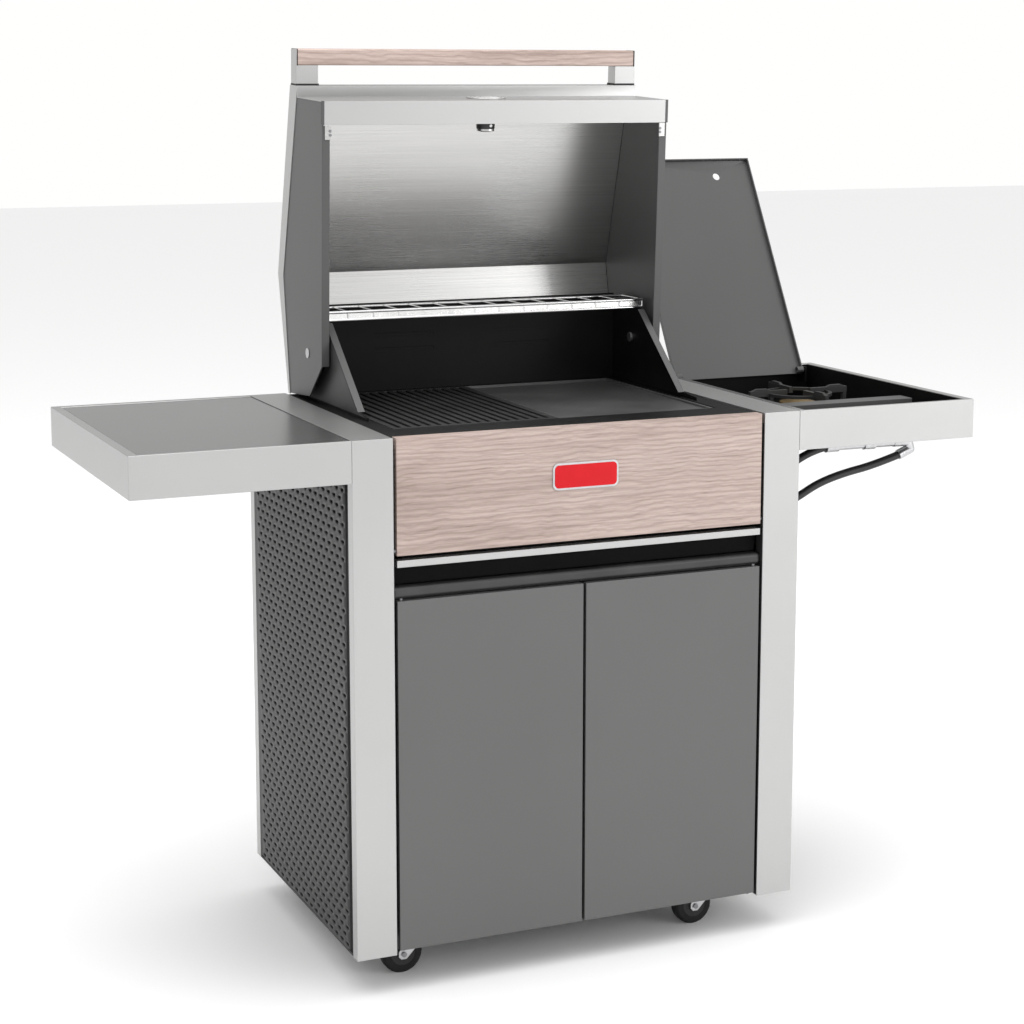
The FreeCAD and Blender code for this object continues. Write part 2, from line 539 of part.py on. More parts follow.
# ---- Roasting hood, drawn closed around its pivot ----------------------------------------------------

BROW_Y = "-hood_front - brow"
BROW_TOP = "brow_foot + brow_height"
HOOD_LINE = [("hood_rear", "rear_rise"), ("-crest_front", "crest_rise"), (BROW_Y, BROW_TOP),
             (BROW_Y, "brow_foot"), ("-hood_front", "brow_foot"), ("-hood_front", "-hood_foot"),
             ("-hood_front + hood_lip", "-hood_foot")]
skin_sheet = bent_sheet(HOOD_LINE, "hood_sheet", "-hood_reach", "hood_reach")
band_outline = HOOD_LINE[:4] + [("-crest_front", "crest_rise - 27"), ("hood_rear", "rear_rise - 8")]
band = plate(band_outline, "hood_reach - hood_sheet", "hood_reach", own=True)
gauge_hole = rod("y", ("0", "-hood_front - 2", "-10"), "gauge_stem + 0.3", "6", own=True)
skin = cut(fuse([skin_sheet, band, mirrored(band)]), [gauge_hole])
node(hang(skin), "hood_skin")

LINER_LINE = [("hood_rear - liner_inset", "rear_rise - 4"),
              ("-crest_front", "crest_rise - liner_inset * 1.1"),
              (f"{BROW_Y} + liner_inset", "brow_foot + brow_height - liner_inset * 1.2")]
liner = bent_sheet(LINER_LINE, "liner_sheet", "-hood_reach + 4.2", "hood_reach - 4.2")
node(hang(liner), "hood_liner")

EDGE = "hood_sheet + 0.1"
side_outline = [("hood_rear - 0.6", f"rear_rise - 1.2 * ({EDGE})"),
                ("-crest_front", f"crest_rise - ({EDGE})"),
                (f"{BROW_Y} + {EDGE}", f"{BROW_TOP} - 1.2 * ({EDGE})"),
                (f"{BROW_Y} + {EDGE}", f"brow_foot + {EDGE}"),
                (f"-hood_front + {EDGE}", f"brow_foot + {EDGE}"),
                (f"-hood_front + {EDGE}", f"-hood_foot + {EDGE}"),
                ("heel_front", f"-hood_foot + {EDGE}"), ("heel_back", "-heel_rise")]
SIDE_X = ("hood_reach - hood_sheet - hood_side_sheet", "hood_reach - hood_sheet")
side_plate = plate(side_outline, *SIDE_X, own=True)
side_bore = rod("x", ("hood_reach - 10", "0", "0"), "pivot_bolt + pin_play", "12", own=True)
side_flange = slab((f"{SIDE_X[0]} - flange_width", SIDE_X[0]), ("-hood_front + hood_lip + 1", "heel_front"),
                   (f"-hood_foot + {EDGE}", f"-hood_foot + {EDGE} + hood_side_sheet"), own=True)
right_side = fuse([cut(side_plate, [side_bore]), side_flange])
node(hang(right_side), "hood_side_right")
node(mirrored(right_side), "hood_side_left")

POST_Z = ("brow_foot + (brow_height - handle_deep) / 2", "brow_foot + (brow_height + handle_deep) / 2")
post = slab(("hood_reach - post_width", "hood_reach"), (f"{BROW_Y} - handle_rise", BROW_Y), POST_Z, own=True)
end_cap = slab(("hood_reach - 1.5", "hood_reach"), (f"{BROW_Y} - handle_rise - handle_high", BROW_Y),
               POST_Z, own=True)
right_post = fuse([post, end_cap])
node(hang(together([right_post, mirrored(right_post)])), "handle_posts")
bar = slab(("-hood_reach + 1.5", "hood_reach - 1.5"),
           (f"{BROW_Y} - handle_rise - handle_high", f"{BROW_Y} - handle_rise"), POST_Z, own=True)
node(hang(together([bar])), "handle_bar")

gauge = fuse([rod("y", ("0", "-hood_front - gauge_face", "-10"), "gauge_radius", "gauge_face", own=True),
              rod("y", ("0", "-hood_front - 1", "-10"), "gauge_stem", "stem_reach", own=True)])
node(hang(gauge), "hood_gauge")


# ---- Side shelves ------------------------------------------------------------------------------------

SHELF_END = f"{OUT} + shelf_reach"
SHELF_Z = ("table_height - shelf_drop", "table_height")
WELL_X = (f"{OUT} + well_strip", f"{SHELF_END} - lip_side")
WELL_Y = ("lip_front", "frame_depth - lip_rear")


def shelf():
    """A folded surround: three walls and a narrow top lip, open towards the trolley."""
    outer = slab((OUT, SHELF_END), ("0", "frame_depth"), SHELF_Z)
    hollow = slab((f"{OUT} - 1", f"{SHELF_END} - shelf_sheet"), ("shelf_sheet", "frame_depth - shelf_sheet"),
                  (f"{SHELF_Z[0]} - 1", f"{SHELF_Z[1]} - shelf_sheet"))
    mouth = slab((f"{OUT} - 1", WELL_X[1]), WELL_Y, (f"{SHELF_Z[1]} - 2 * shelf_sheet", f"{SHELF_Z[1]} + 1"))
    return cut(outer, [hollow, mouth])


node(shelf(), "right_shelf")

insert_z = ("table_height - insert_dip - insert_thick", "table_height - insert_dip")
insert = slab((OUT, f"{WELL_X[1]} - panel_gap"), (f"{WELL_Y[0]} + panel_gap", f"{WELL_Y[1]} - panel_gap"),
              insert_z)
node(mirrored(insert), "left_shelf_panel")
brackets = [slab((OUT, f"{SHELF_END} - shelf_sheet"), (y, f"{y} + 30"), (f"{insert_z[0]} - 22", insert_z[0]))
            for y in ("frame_depth / 4", "frame_depth * 0.7")]
node(mirrored(fuse([shelf()] + brackets)), "left_shelf")


# ---- Side burner -------------------------------------------------------------------------------------

WELL_TOP = "table_height - shelf_sheet"
WELL_FLOOR = "table_height - well_depth"
bowl_flange = slab((OUT, f"{SHELF_END} - shelf_sheet - 1"),
                   ("shelf_sheet + 1", "frame_depth - shelf_sheet - 1"),
                   (f"{WELL_TOP} - well_wall", WELL_TOP))
bowl_block = slab((f"{WELL_X[0]} - well_wall", f"{WELL_X[1]} + well_wall"),
                  (f"{WELL_Y[0]} + 0.5", f"{WELL_Y[1]} + well_wall"), (f"{WELL_FLOOR} - well_wall", WELL_TOP))
bowl_hollow = slab(WELL_X, (f"{WELL_Y[0]} + 0.5 + well_wall", WELL_Y[1]), (WELL_FLOOR, "table_height + 1"))
RING = (f"{OUT} + ring_side", "ring_back")
feed_hole = rod("z", (*RING, f"{WELL_FLOOR} - 5"), "tee_radius", "10")
lugs = [slab((x, f"{x} + 3"), ("lid_hinge_back - 7", WELL_Y[1]),
             (f"{WELL_FLOOR} + 30", "table_height - lid_hinge_dip + 5"))
        for x in (f"{OUT} + lid_left - 4", f"{OUT} + lid_left + lid_width + 1")]
HINGE_Z = "table_height - lid_hinge_dip"
lug_bores = [rod("x", (f"{OUT} + lid_left - 6", "lid_hinge_back", HINGE_Z), "hinge_pin", "lid_width + 12")]
lug_parts = [cut(lug, lug_bores) for lug in lugs]
node(fuse([cut(fuse([bowl_flange, bowl_block]), [bowl_hollow, feed_hole])] + lug_parts), "side_burner_well")

lid_pins = [rod("x", (x, "lid_hinge_back", HINGE_Z), "hinge_pin", "13")
            for x in (f"{OUT} + lid_left - 4", f"{OUT} + lid_left + lid_width - 9")]
node(together(pins + lid_pins), "hinge_pins")

ring_body = cut(rod("z", (*RING, WELL_FLOOR), "ring_radius", "ring_height"),
                [rod("z", (*RING, f"{WELL_FLOOR} - 1"), "tee_radius", "ring_height - 4")])
ring_cap = rod("z", (*RING, f"{WELL_FLOOR} + ring_height"), "ring_cap", "7")
node(together([ring_body, ring_cap]), "side_burner_ring")

TRIVET_Z = ("table_height - trivet_top - trivet_bar - 3", "table_height - trivet_top")
arms = [slab((f"{RING[0]} - trivet_arm", f"{RING[0]} + trivet_arm"),
             ("ring_back - trivet_bar / 2", "ring_back + trivet_bar / 2"), TRIVET_Z),
        slab((f"{RING[0]} - trivet_bar / 2", f"{RING[0]} + trivet_bar / 2"),
             ("ring_back - trivet_arm", "ring_back + trivet_arm"), TRIVET_Z)]
eye = rod("z", (*RING, f"{TRIVET_Z[0]} - 1"), "ring_cap - 8", "trivet_bar + 6")
hoop = cut(rod("z", (*RING, TRIVET_Z[0]), "ring_radius + 14", "5"),
           [rod("z", (*RING, f"{TRIVET_Z[0]} - 1"), "ring_radius + 8", "7")])
legs = [slab((f"{RING[0]} + {i} * (trivet_arm - 4) - 3.5", f"{RING[0]} + {i} * (trivet_arm - 4) + 3.5"),
             (f"ring_back + {j} * (trivet_arm - 4) - 3.5", f"ring_back + {j} * (trivet_arm - 4) + 3.5"),
             (WELL_FLOOR, TRIVET_Z[1])) for i, j in ((-1, 0), (1, 0), (0, -1), (0, 1))]
node(fuse([cut(fuse(arms), [eye]), hoop] + legs), "side_trivet")

CROSS_X = (f"{OUT} + lid_left + 4", f"{OUT} + lid_left + lid_width - 6")
CROSS_Y = ("cross_front", "cross_front + cross_depth")
cross_block = slab(CROSS_X, CROSS_Y, (WELL_FLOOR, "table_height - lid_flange - 2"))
cross_hollow = slab((f"{CROSS_X[0]} + 2", f"{CROSS_X[1]} - 2"),
                    ("cross_front + 2", "cross_front + cross_depth - 2"),
                    (f"{WELL_FLOOR} - 1", "table_height - lid_flange - 4"))
node(cut(cross_block, [cross_hollow]), "heat_guard")

LID_TOP = "lid_hinge_dip"
lid_face = slab(("0", "lid_width"), ("-lid_length", "5"), (f"{LID_TOP} - lid_sheet", LID_TOP), own=True)
LID_FLANGE_Z = (f"{LID_TOP} - lid_flange", LID_TOP)
lid_sides = [slab((x, f"{x} + lid_sheet"), ("-lid_length", "5"), LID_FLANGE_Z, own=True)
             for x in ("0", "lid_width - lid_sheet")]
lid_front = slab(("0", "lid_width"), ("-lid_length", "-lid_length + lid_sheet"), LID_FLANGE_Z, own=True)
knuckles = [rod("x", (x, "0", "0"), "hinge_pin + 2.4", "12", own=True) for x in ("0", "lid_width - 12")]
pin_bores = [rod("x", (x, "0", "0"), "hinge_pin + pin_play", "16", own=True)
             for x in ("-3", "lid_width - 13")]
finger_hole = rod("z", ("lid_hole_side", "-lid_length + lid_hole_inset", "0"), "lid_hole", "20", own=True)
lid = cut(fuse([lid_face, lid_front] + lid_sides + knuckles), pin_bores + [finger_hole])
node(hang(lid, "lid_open", f"{OUT} + lid_left", "lid_hinge_back", HINGE_Z), "side_lid")


# ---- Gas hoses under the right shelf -----------------------------------------------------------------

HOSE_BACK = number("hose_back - setback")
GLAND_X = number(f"{OUT} + 8")
SUPPLY_ROUTE = [(606, 719.5), (560, 706), (505, 697), (458, 684), (420, 664), (392, 652),
                (GLAND_X, number(SUPPLY_HEIGHT))]
LINK_ROUTE = [(470, 741.5), (448, 737), (420, 725), (394, 710), (GLAND_X, number(LINK_HEIGHT))]


def hose(route, radius, name):
    """A tube of straight runs joined by tangent arcs, as large as their runs allow."""
    points = [FreeCAD.Vector(x, HOSE_BACK, z) for x, z in route]
    edges, here = [], points[0]
    radii = []
    for before, corner, after in zip(points, points[1:], points[2:]):
        into, out = (corner - before), (after - corner)
        reach = 0.45 * min(into.Length, out.Length)
        turn = into.getAngle(out)
        radii.append(reach / math.tan(turn / 2))
        start = corner - into.normalize() * reach
        end = corner + out.normalize() * reach
        side = (start + end) * 0.5 - corner
        middle = corner + side.normalize() * (radii[-1] / math.cos(turn / 2) - radii[-1])
        edges.append(Part.LineSegment(here, start).toShape())
        edges.append(Part.Arc(start, middle, end).toShape())
        here = end
    edges.append(Part.LineSegment(here, points[-1]).toShape())
    path = Part.Wire(edges)
    first = (points[1] - points[0]).normalize()
    ring = Part.Wire([Part.makeCircle(radius, points[0], first)])
    tube = path.makePipeShell([ring], True, True)
    print(name, "length", round(path.Length, 1), "radii", [round(r) for r in radii],
          "volume ratio", round(tube.Volume / (math.pi * radius ** 2 * path.Length), 4))
    return node(feature(tube, name), name)


hose(SUPPLY_ROUTE, number("hose_radius"), "supply_hose")
hose(LINK_ROUTE, number("hose_radius"), "link_hose")


def barrel(start, end, radius):
    """A round bar between two points of the hose plane."""
    base, tip = FreeCAD.Vector(start[0], HOSE_BACK, start[1]), FreeCAD.Vector(end[0], HOSE_BACK, end[1])
    return Part.makeCylinder(number(radius), (tip - base).Length, base, tip - base)


TEE_Z = number("table_height - tee_drop")
TEE_X = number(f"{OUT} + tee_side")
elbow_end = (TEE_X + 144, TEE_Z - number("elbow_dip"))
tee_elbow = (TEE_X + 140, TEE_Z)
tee = [barrel((TEE_X, TEE_Z), (TEE_X + 120, TEE_Z), "tee_radius - 2"),
       barrel((TEE_X - 14, TEE_Z), (TEE_X + 8, TEE_Z), "tee_radius"),
       barrel((TEE_X + 56, TEE_Z), (TEE_X + 76, TEE_Z), "tee_radius"),
       barrel((TEE_X + 112, TEE_Z), tee_elbow, "tee_radius - 1"),
       barrel(tee_elbow, elbow_end, "tee_radius - 1"),
       barrel(elbow_end, (TEE_X + 122, TEE_Z - 22), "tee_radius - 1")]
knees = [Part.makeSphere(number("tee_radius - 1"), FreeCAD.Vector(x, HOSE_BACK, z))
         for x, z in (tee_elbow, elbow_end)]
feed = FreeCAD.Vector(number(RING[0]), number("ring_back - setback"), TEE_Z)
riser = Part.makeCylinder(number("tee_radius - 3"), number(f"{WELL_FLOOR} + 8") - TEE_Z, feed)
feed_pipe = Part.makeCylinder(number("tee_radius - 3"), feed.y - HOSE_BACK,
                              FreeCAD.Vector(feed.x, HOSE_BACK, TEE_Z), FreeCAD.Vector(0, 1, 0))
tee_shape = tee[0].multiFuse(tee[1:] + knees + [riser, feed_pipe]).removeSplitter()

glands = [fuse([rod("x", (f"{OUT} - side_sheet - {inside}", "hose_back", height), "hose_radius + 2",
                    f"side_sheet + {inside} + 8"),
                rod("x", (OUT, "hose_back", height), "hose_radius + 4", "8")])
          for height, inside in ((SUPPLY_HEIGHT, "22"), (LINK_HEIGHT, "1.5"))]
node(together([feature(tee_shape, "tee")] + glands), "hose_fittings")


# ---- Casters -----------------------------------------------------------------------------------------

KING_Y = {"front": "king_inset", "rear": "frame_depth - king_inset"}
SIDES = {"left": "-king_side", "right": "king_side"}
MOUNT_Z = ("base_height - mount_sheet", "base_height")
FORK_TOP = "base_height - mount_sheet - race_height"
BRAKE_Z = "wheel_radius + 15"
mounts = []
for end, king_y in KING_Y.items():
    for side, king_x in SIDES.items():
        flat = slab((f"{king_x} - plate_side / 2", f"{king_x} + plate_side / 2"),
                    (f"{king_y} - plate_side / 2", f"{king_y} + plate_side / 2"), MOUNT_Z)
        pin = rod("z", (king_x, king_y, f"{FORK_TOP} - 4"), "king_radius - 4", "race_height + 5")
        head = rod("z", (king_x, king_y, f"{FORK_TOP} + 0.3"), "king_radius + 6", "race_height - 0.3")
        mounts.append(fuse([flat, pin, head]))
        wheel_x = f"{king_x} - trail"
        inner = "wheel_width / 2 + fork_gap"
        cheeks = [slab((f"{wheel_x} - 9", f"{king_x} + 15"), (f"{king_y} + {a}", f"{king_y} + {b}"),
                       ("wheel_radius - 8", FORK_TOP))
                  for a, b in ((f"-({inner}) - fork_sheet", f"-({inner})"), (inner, f"{inner} + fork_sheet"))]
        bridge = slab((f"{king_x} - 15", f"{king_x} + 15"),
                      (f"{king_y} - ({inner}) - fork_sheet", f"{king_y} + {inner} + fork_sheet"),
                      (f"{FORK_TOP} - fork_sheet", FORK_TOP))
        bore = rod("z", (king_x, king_y, f"{FORK_TOP} - 6"), "king_radius - 4 + pin_play", "12")
        axle = rod("y", (wheel_x, f"{king_y} - ({inner}) - fork_sheet - 3", "wheel_radius"), "axle_radius",
                   f"2 * ({inner}) + 2 * fork_sheet + 6")
        brake_pin = rod("y", (f"{king_x} + 12", f"{king_y} - ({inner}) - fork_sheet - 3", BRAKE_Z),
                        "hinge_pin", f"2 * ({inner}) + 2 * fork_sheet + 6")
        pins = [axle] + ([brake_pin] if end == "front" else [])
        node(fuse([cut(bridge, [bore])] + cheeks + pins), f"caster_fork_{end}_{side}")
        tread = [("axle_radius + pin_play", "0"), ("wheel_radius - 4", "0"), ("wheel_radius", "4"),
                 ("wheel_radius", "wheel_width - 4"), ("wheel_radius - 4", "wheel_width"),
                 ("axle_radius + pin_play", "wheel_width")]
        node(turned(tread, (wheel_x, f"{king_y} - wheel_width / 2", "wheel_radius"), "y"),
             f"caster_wheel_{end}_{side}")
        if end == "front":
            arm_y = f"{inner} + fork_sheet + 0.4"
            brake_z = (f"{BRAKE_Z} - 6", f"{BRAKE_Z} + 5")
            arms = [slab((f"{king_x} + 7", f"{king_x} + 42"), (f"{king_y} + {a}", f"{king_y} + {b}"), brake_z)
                    for a, b in ((f"-({arm_y}) - 2", f"-({arm_y})"), (arm_y, f"{arm_y} + 2"))]
            tread_bar = slab((f"{king_x} + 26", f"{king_x} + 44"),
                             (f"{king_y} - ({arm_y}) - 2", f"{king_y} + {arm_y} + 2"),
                             (f"{BRAKE_Z} - 6", f"{BRAKE_Z} - 3.5"))
            arm_bore = rod("y", (f"{king_x} + 12", f"{king_y} - 30", BRAKE_Z),
                           "hinge_pin + pin_play", "60")
            node(cut(fuse(arms + [tread_bar]), [arm_bore]), f"brake_pedal_{side}")
node(together(mounts), "caster_plates")


# ---- Checks and files --------------------------------------------------------------------------------

doc.recompute()
faults = [o.Name for o in doc.Objects if "Invalid" in o.State or "Error" in o.State]
faults += [o.Label for o in NODES if o.Shape.isNull() or not o.Shape.isValid() or not o.Shape.Solids]
if faults:
    raise RuntimeError(f"failed pieces: {faults}")
os.makedirs("parts", exist_ok=True)
for obj in NODES:
    obj.Shape.exportStep(f"parts/{obj.Label}.step")
whole = FreeCAD.BoundBox()
for obj in NODES:
    whole.add(obj.Shape.BoundBox)
print(len(NODES), "pieces, box", whole)
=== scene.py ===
import json
import math

import bmesh
import bpy
from mathutils import Matrix, Vector


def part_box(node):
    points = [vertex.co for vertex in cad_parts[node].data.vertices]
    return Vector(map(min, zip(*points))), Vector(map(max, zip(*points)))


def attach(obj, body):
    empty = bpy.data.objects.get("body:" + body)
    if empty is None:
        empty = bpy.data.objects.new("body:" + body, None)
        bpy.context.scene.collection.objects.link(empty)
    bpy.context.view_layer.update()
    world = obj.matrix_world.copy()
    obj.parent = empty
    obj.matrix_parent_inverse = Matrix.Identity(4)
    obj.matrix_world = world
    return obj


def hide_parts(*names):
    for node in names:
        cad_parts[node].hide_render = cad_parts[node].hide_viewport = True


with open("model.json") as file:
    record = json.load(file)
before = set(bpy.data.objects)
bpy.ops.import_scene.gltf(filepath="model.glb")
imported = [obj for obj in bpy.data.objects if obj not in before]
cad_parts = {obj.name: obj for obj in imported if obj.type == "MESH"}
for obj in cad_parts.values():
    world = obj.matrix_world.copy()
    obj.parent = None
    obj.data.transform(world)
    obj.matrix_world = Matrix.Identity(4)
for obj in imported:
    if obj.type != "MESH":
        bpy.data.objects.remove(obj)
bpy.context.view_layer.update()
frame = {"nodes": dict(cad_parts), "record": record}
NODES = frame["nodes"]
BODY_OF = {n: b for b, names in frame["record"]["behaviour"]["bodies"].items() for n in names}
SLOT_OF = {p["node"]: p["material_slot"] for p in frame["record"]["subparts"]}
MM = 0.001
SIDES = (("left", -1), ("right", 1))


# ---- Node-tree helpers ---------------------------------------------------------------------------

def new_material(name):
    mat = bpy.data.materials.new(name)
    mat.use_nodes = True
    tree = mat.node_tree
    return mat, tree, tree.nodes["Principled BSDF"]


def add(tree, kind, **values):
    node = tree.nodes.new(kind)
    for key, value in values.items():
        setattr(node, key, value)
    return node


def link(tree, out, into):
    tree.links.new(out, into)


def stretched_noise(tree, stretch, scale, detail=4.0, roughness=0.6):
    """Noise over the object's own coordinates, stretched along one axis by a small factor."""
    coords = add(tree, "ShaderNodeTexCoord")
    mapping = add(tree, "ShaderNodeMapping")
    mapping.inputs["Scale"].default_value = stretch
    link(tree, coords.outputs["Object"], mapping.inputs["Vector"])
    tex = add(tree, "ShaderNodeTexNoise")
    tex.inputs["Scale"].default_value = scale
    tex.inputs["Detail"].default_value = detail
    tex.inputs["Roughness"].default_value = roughness
    link(tree, mapping.outputs["Vector"], tex.inputs["Vector"])
    return tex


def ramp(tree, source, stops):
    node = add(tree, "ShaderNodeValToRGB")
    elements = node.color_ramp.elements
    while len(elements) < len(stops):
        elements.new(0.5)
    for element, (position, color) in zip(elements, stops):
        element.position = position
        element.color = (*color, 1.0)
    link(tree, source, node.inputs["Fac"])
    return node


def bump(tree, bsdf, height, strength, distance):
    node = add(tree, "ShaderNodeBump")
    node.inputs["Strength"].default_value = strength
    node.inputs["Distance"].default_value = distance
    link(tree, height, node.inputs["Height"])
    link(tree, node.outputs["Normal"], bsdf.inputs["Normal"])


def span(tree, source, low, high):
    """A number that follows a 0-1 source between two values."""
    node = add(tree, "ShaderNodeMapRange")
    node.inputs["To Min"].default_value = low
    node.inputs["To Max"].default_value = high
    link(tree, source, node.inputs["Value"])
    return node.outputs["Result"]


def grey(value):
    return (value, value, value * 0.992)


def shades(color, spread):
    """A colour's darker and lighter neighbours."""
    return tuple(c * (1 - spread) for c in color), tuple(min(1.0, c * (1 + spread)) for c in color)


# ---- Materials --------------------------------------------------------------------------------------

def metal_paint(name, color, spread, rough, metallic, flake=1400.0, bump_size=0.03, specular=0.5):
    """Sprayed metal: a faint cloud in the colour, a fine flake and a slight orange peel."""
    mat, tree, bsdf = new_material(name)
    cloud = stretched_noise(tree, (1, 1, 1), 3.0, 3.0)
    fine = stretched_noise(tree, (1, 1, 1), flake, 1.0)
    mix = add(tree, "ShaderNodeMath", operation="MULTIPLY_ADD")
    mix.inputs[1].default_value = 0.35
    link(tree, fine.outputs["Fac"], mix.inputs[0])
    link(tree, cloud.outputs["Fac"], mix.inputs[2])
    dark, light = shades(color, spread)
    tint = ramp(tree, mix.outputs[0], [(0.40, dark), (0.95, light)])
    link(tree, tint.outputs["Color"], bsdf.inputs["Base Color"])
    link(tree, span(tree, cloud.outputs["Fac"], rough * 0.88, rough * 1.12), bsdf.inputs["Roughness"])
    bsdf.inputs["Metallic"].default_value = metallic
    bsdf.inputs["Specular IOR Level"].default_value = specular
    bump(tree, bsdf, fine.outputs["Fac"], 0.12, bump_size * MM)
    return mat


def brushed(name, color, rough, stretch, spread=0.10, metallic=1.0):
    """Brushed sheet: fine scratches along one axis in colour, roughness and bump."""
    mat, tree, bsdf = new_material(name)
    lines = stretched_noise(tree, stretch, 1.0, 6.0, 0.7)
    cloud = stretched_noise(tree, (1, 1, 1), 2.2, 2.0)
    dark, light = shades(color, spread)
    tint = ramp(tree, lines.outputs["Fac"], [(0.30, dark), (0.70, light)])
    link(tree, tint.outputs["Color"], bsdf.inputs["Base Color"])
    mix = add(tree, "ShaderNodeMath", operation="MULTIPLY_ADD")
    mix.inputs[1].default_value = 0.5
    link(tree, lines.outputs["Fac"], mix.inputs[0])
    link(tree, cloud.outputs["Fac"], mix.inputs[2])
    link(tree, span(tree, mix.outputs[0], rough * 0.8, rough * 1.15), bsdf.inputs["Roughness"])
    bsdf.inputs["Metallic"].default_value = metallic
    bump(tree, bsdf, lines.outputs["Fac"], 0.10, 0.05 * MM)
    return mat


def timber(name, shade_of=1.0):
    """Limed timber print: wavy annual lines along X, broken by fine dark pores and pale flecks."""
    mat, tree, bsdf = new_material(name)
    drift = stretched_noise(tree, (1.3, 7, 7), 1.0, 3.0, 0.5)
    coords = add(tree, "ShaderNodeTexCoord")
    lift = add(tree, "ShaderNodeCombineXYZ")
    link(tree, span(tree, drift.outputs["Fac"], -0.03, 0.03), lift.inputs["Z"])
    warped = add(tree, "ShaderNodeVectorMath", operation="ADD")
    link(tree, coords.outputs["Object"], warped.inputs[0])
    link(tree, lift.outputs["Vector"], warped.inputs[1])
    rings = add(tree, "ShaderNodeTexWave", wave_type="BANDS", bands_direction="Z")
    for key, value in (("Scale", 38.0), ("Distortion", 6.0), ("Detail", 4.0), ("Detail Scale", 0.5)):
        rings.inputs[key].default_value = value
    link(tree, warped.outputs["Vector"], rings.inputs["Vector"])
    broad = stretched_noise(tree, (1.6, 9, 18), 1.0, 4.0, 0.6)
    fine = stretched_noise(tree, (14, 240, 420), 1.0, 5.0, 0.75)
    pores = stretched_noise(tree, (26, 500, 620), 1.0, 2.0, 0.5)
    tones = [(0.34, (0.390, 0.296, 0.258)), (0.47, (0.560, 0.440, 0.394)), (0.68, (0.630, 0.505, 0.458))]
    base = ramp(tree, broad.outputs["Fac"], [(at, tuple(c * shade_of for c in tone)) for at, tone in tones])
    lines = ramp(tree, rings.outputs["Fac"], [(0.05, (0.72, 0.69, 0.675)), (0.42, (1.0, 1.0, 1.0)),
                                              (0.90, (1.06, 1.055, 1.05))])
    grain = ramp(tree, fine.outputs["Fac"], [(0.34, (0.76, 0.735, 0.72)), (0.60, (1.06, 1.06, 1.06))])
    dots = ramp(tree, pores.outputs["Fac"], [(0.28, (0.62, 0.58, 0.56)), (0.38, (1.0, 1.0, 1.0))])
    shade = base
    for factor, layer in ((0.55, lines), (0.90, grain), (0.60, dots)):
        mix = add(tree, "ShaderNodeMix", data_type="RGBA", blend_type="MULTIPLY")
        mix.inputs["Factor"].default_value = factor
        link(tree, shade.outputs[0] if shade is base else shade.outputs[2], mix.inputs[6])
        link(tree, layer.outputs["Color"], mix.inputs[7])
        shade = mix
    link(tree, shade.outputs[2], bsdf.inputs["Base Color"])
    link(tree, span(tree, fine.outputs["Fac"], 0.66, 0.50), bsdf.inputs["Roughness"])
    bump(tree, bsdf, fine.outputs["Fac"], 0.25, 0.15 * MM)
    return mat


def rough_solid(name, color, rough, grain, height, spread=0.25, metallic=0.0, specular=0.5):
    """Cast, moulded or enamelled surface: mottled colour and a grain in bump and roughness."""
    mat, tree, bsdf = new_material(name)
    tex = stretched_noise(tree, (1, 1, 1), grain, 5.0, 0.62)
    cloud = stretched_noise(tree, (1, 1, 1), 9.0, 3.0)
    dark, light = shades(color, spread)
    tint = ramp(tree, cloud.outputs["Fac"], [(0.35, dark), (0.68, light)])
    link(tree, tint.outputs["Color"], bsdf.inputs["Base Color"])
    link(tree, span(tree, cloud.outputs["Fac"], rough * 0.85, rough * 1.15), bsdf.inputs["Roughness"])
    bsdf.inputs["Metallic"].default_value = metallic
    bsdf.inputs["Specular IOR Level"].default_value = specular
    bump(tree, bsdf, tex.outputs["Fac"], 0.35, height * MM)
    return mat


LONG_X = (4, 900, 900)
MATS = {
    "silver": metal_paint("silver_paint", grey(0.465), 0.03, 0.36, 0.85),
    "panel_dark": metal_paint("panel_paint", grey(0.046), 0.06, 0.46, 0.30, specular=0.2),
    "door_grey": metal_paint("door_paint", grey(0.122), 0.04, 0.42, 0.55, 2600.0, 0.05),
    # black enamel set darker than its own black: painted shade for the windshield wall inside the hood
    "black_enamel": rough_solid("black_enamel", grey(0.0045), 0.46, 420.0, 0.03, specular=0.14),
    "black_metal": rough_solid("black_metal", grey(0.030), 0.40, 700.0, 0.03),
    "cast_iron": rough_solid("cast_iron", grey(0.052), 0.46, 650.0, 0.12, specular=0.6),
    "stainless": brushed("stainless", (0.545, 0.542, 0.535), 0.26, LONG_X, 0.12),
    "hood_paint": metal_paint("hood_paint", grey(0.092), 0.05, 0.42, 0.35, specular=0.4),
    "timber": timber("limed_timber", 0.765),
    "chrome": brushed("chrome", (0.78, 0.78, 0.78), 0.12, (300, 300, 300), 0.04),
    "zinc": brushed("zinc", (0.52, 0.52, 0.53), 0.34, (160, 160, 160), 0.12),
    "brass": rough_solid("brass", (0.50, 0.33, 0.12), 0.35, 500.0, 0.05, metallic=1.0),
    "badge_red": rough_solid("badge_enamel", (0.56, 0.004, 0.010), 0.30, 60.0, 0.02, 0.08, specular=0.25),
    "shelf_grey": metal_paint("shelf_paint", grey(0.28), 0.04, 0.26, 0.85),
    "hose_rubber": rough_solid("hose_rubber", grey(0.014), 0.52, 900.0, 0.06),
    "caster_rubber": rough_solid("caster_rubber", grey(0.008), 0.60, 500.0, 0.08, specular=0.25),
    "knob_metal": brushed("knob_steel", (0.40, 0.40, 0.40), 0.35, (500, 40, 500)),
}
GRATE_IRON = rough_solid("grate_iron", grey(0.018), 0.50, 650.0, 0.12, specular=0.4)
# a lighter copy of the same limed timber for the handle bar: painted light
LIT_BAR_TIMBER = timber("limed_timber_bar_painted_light", 0.94)
HAMMERED = rough_solid("hammered_chrome", (0.80, 0.80, 0.79), 0.18, 150.0, 1.5, 0.06, metallic=1.0)
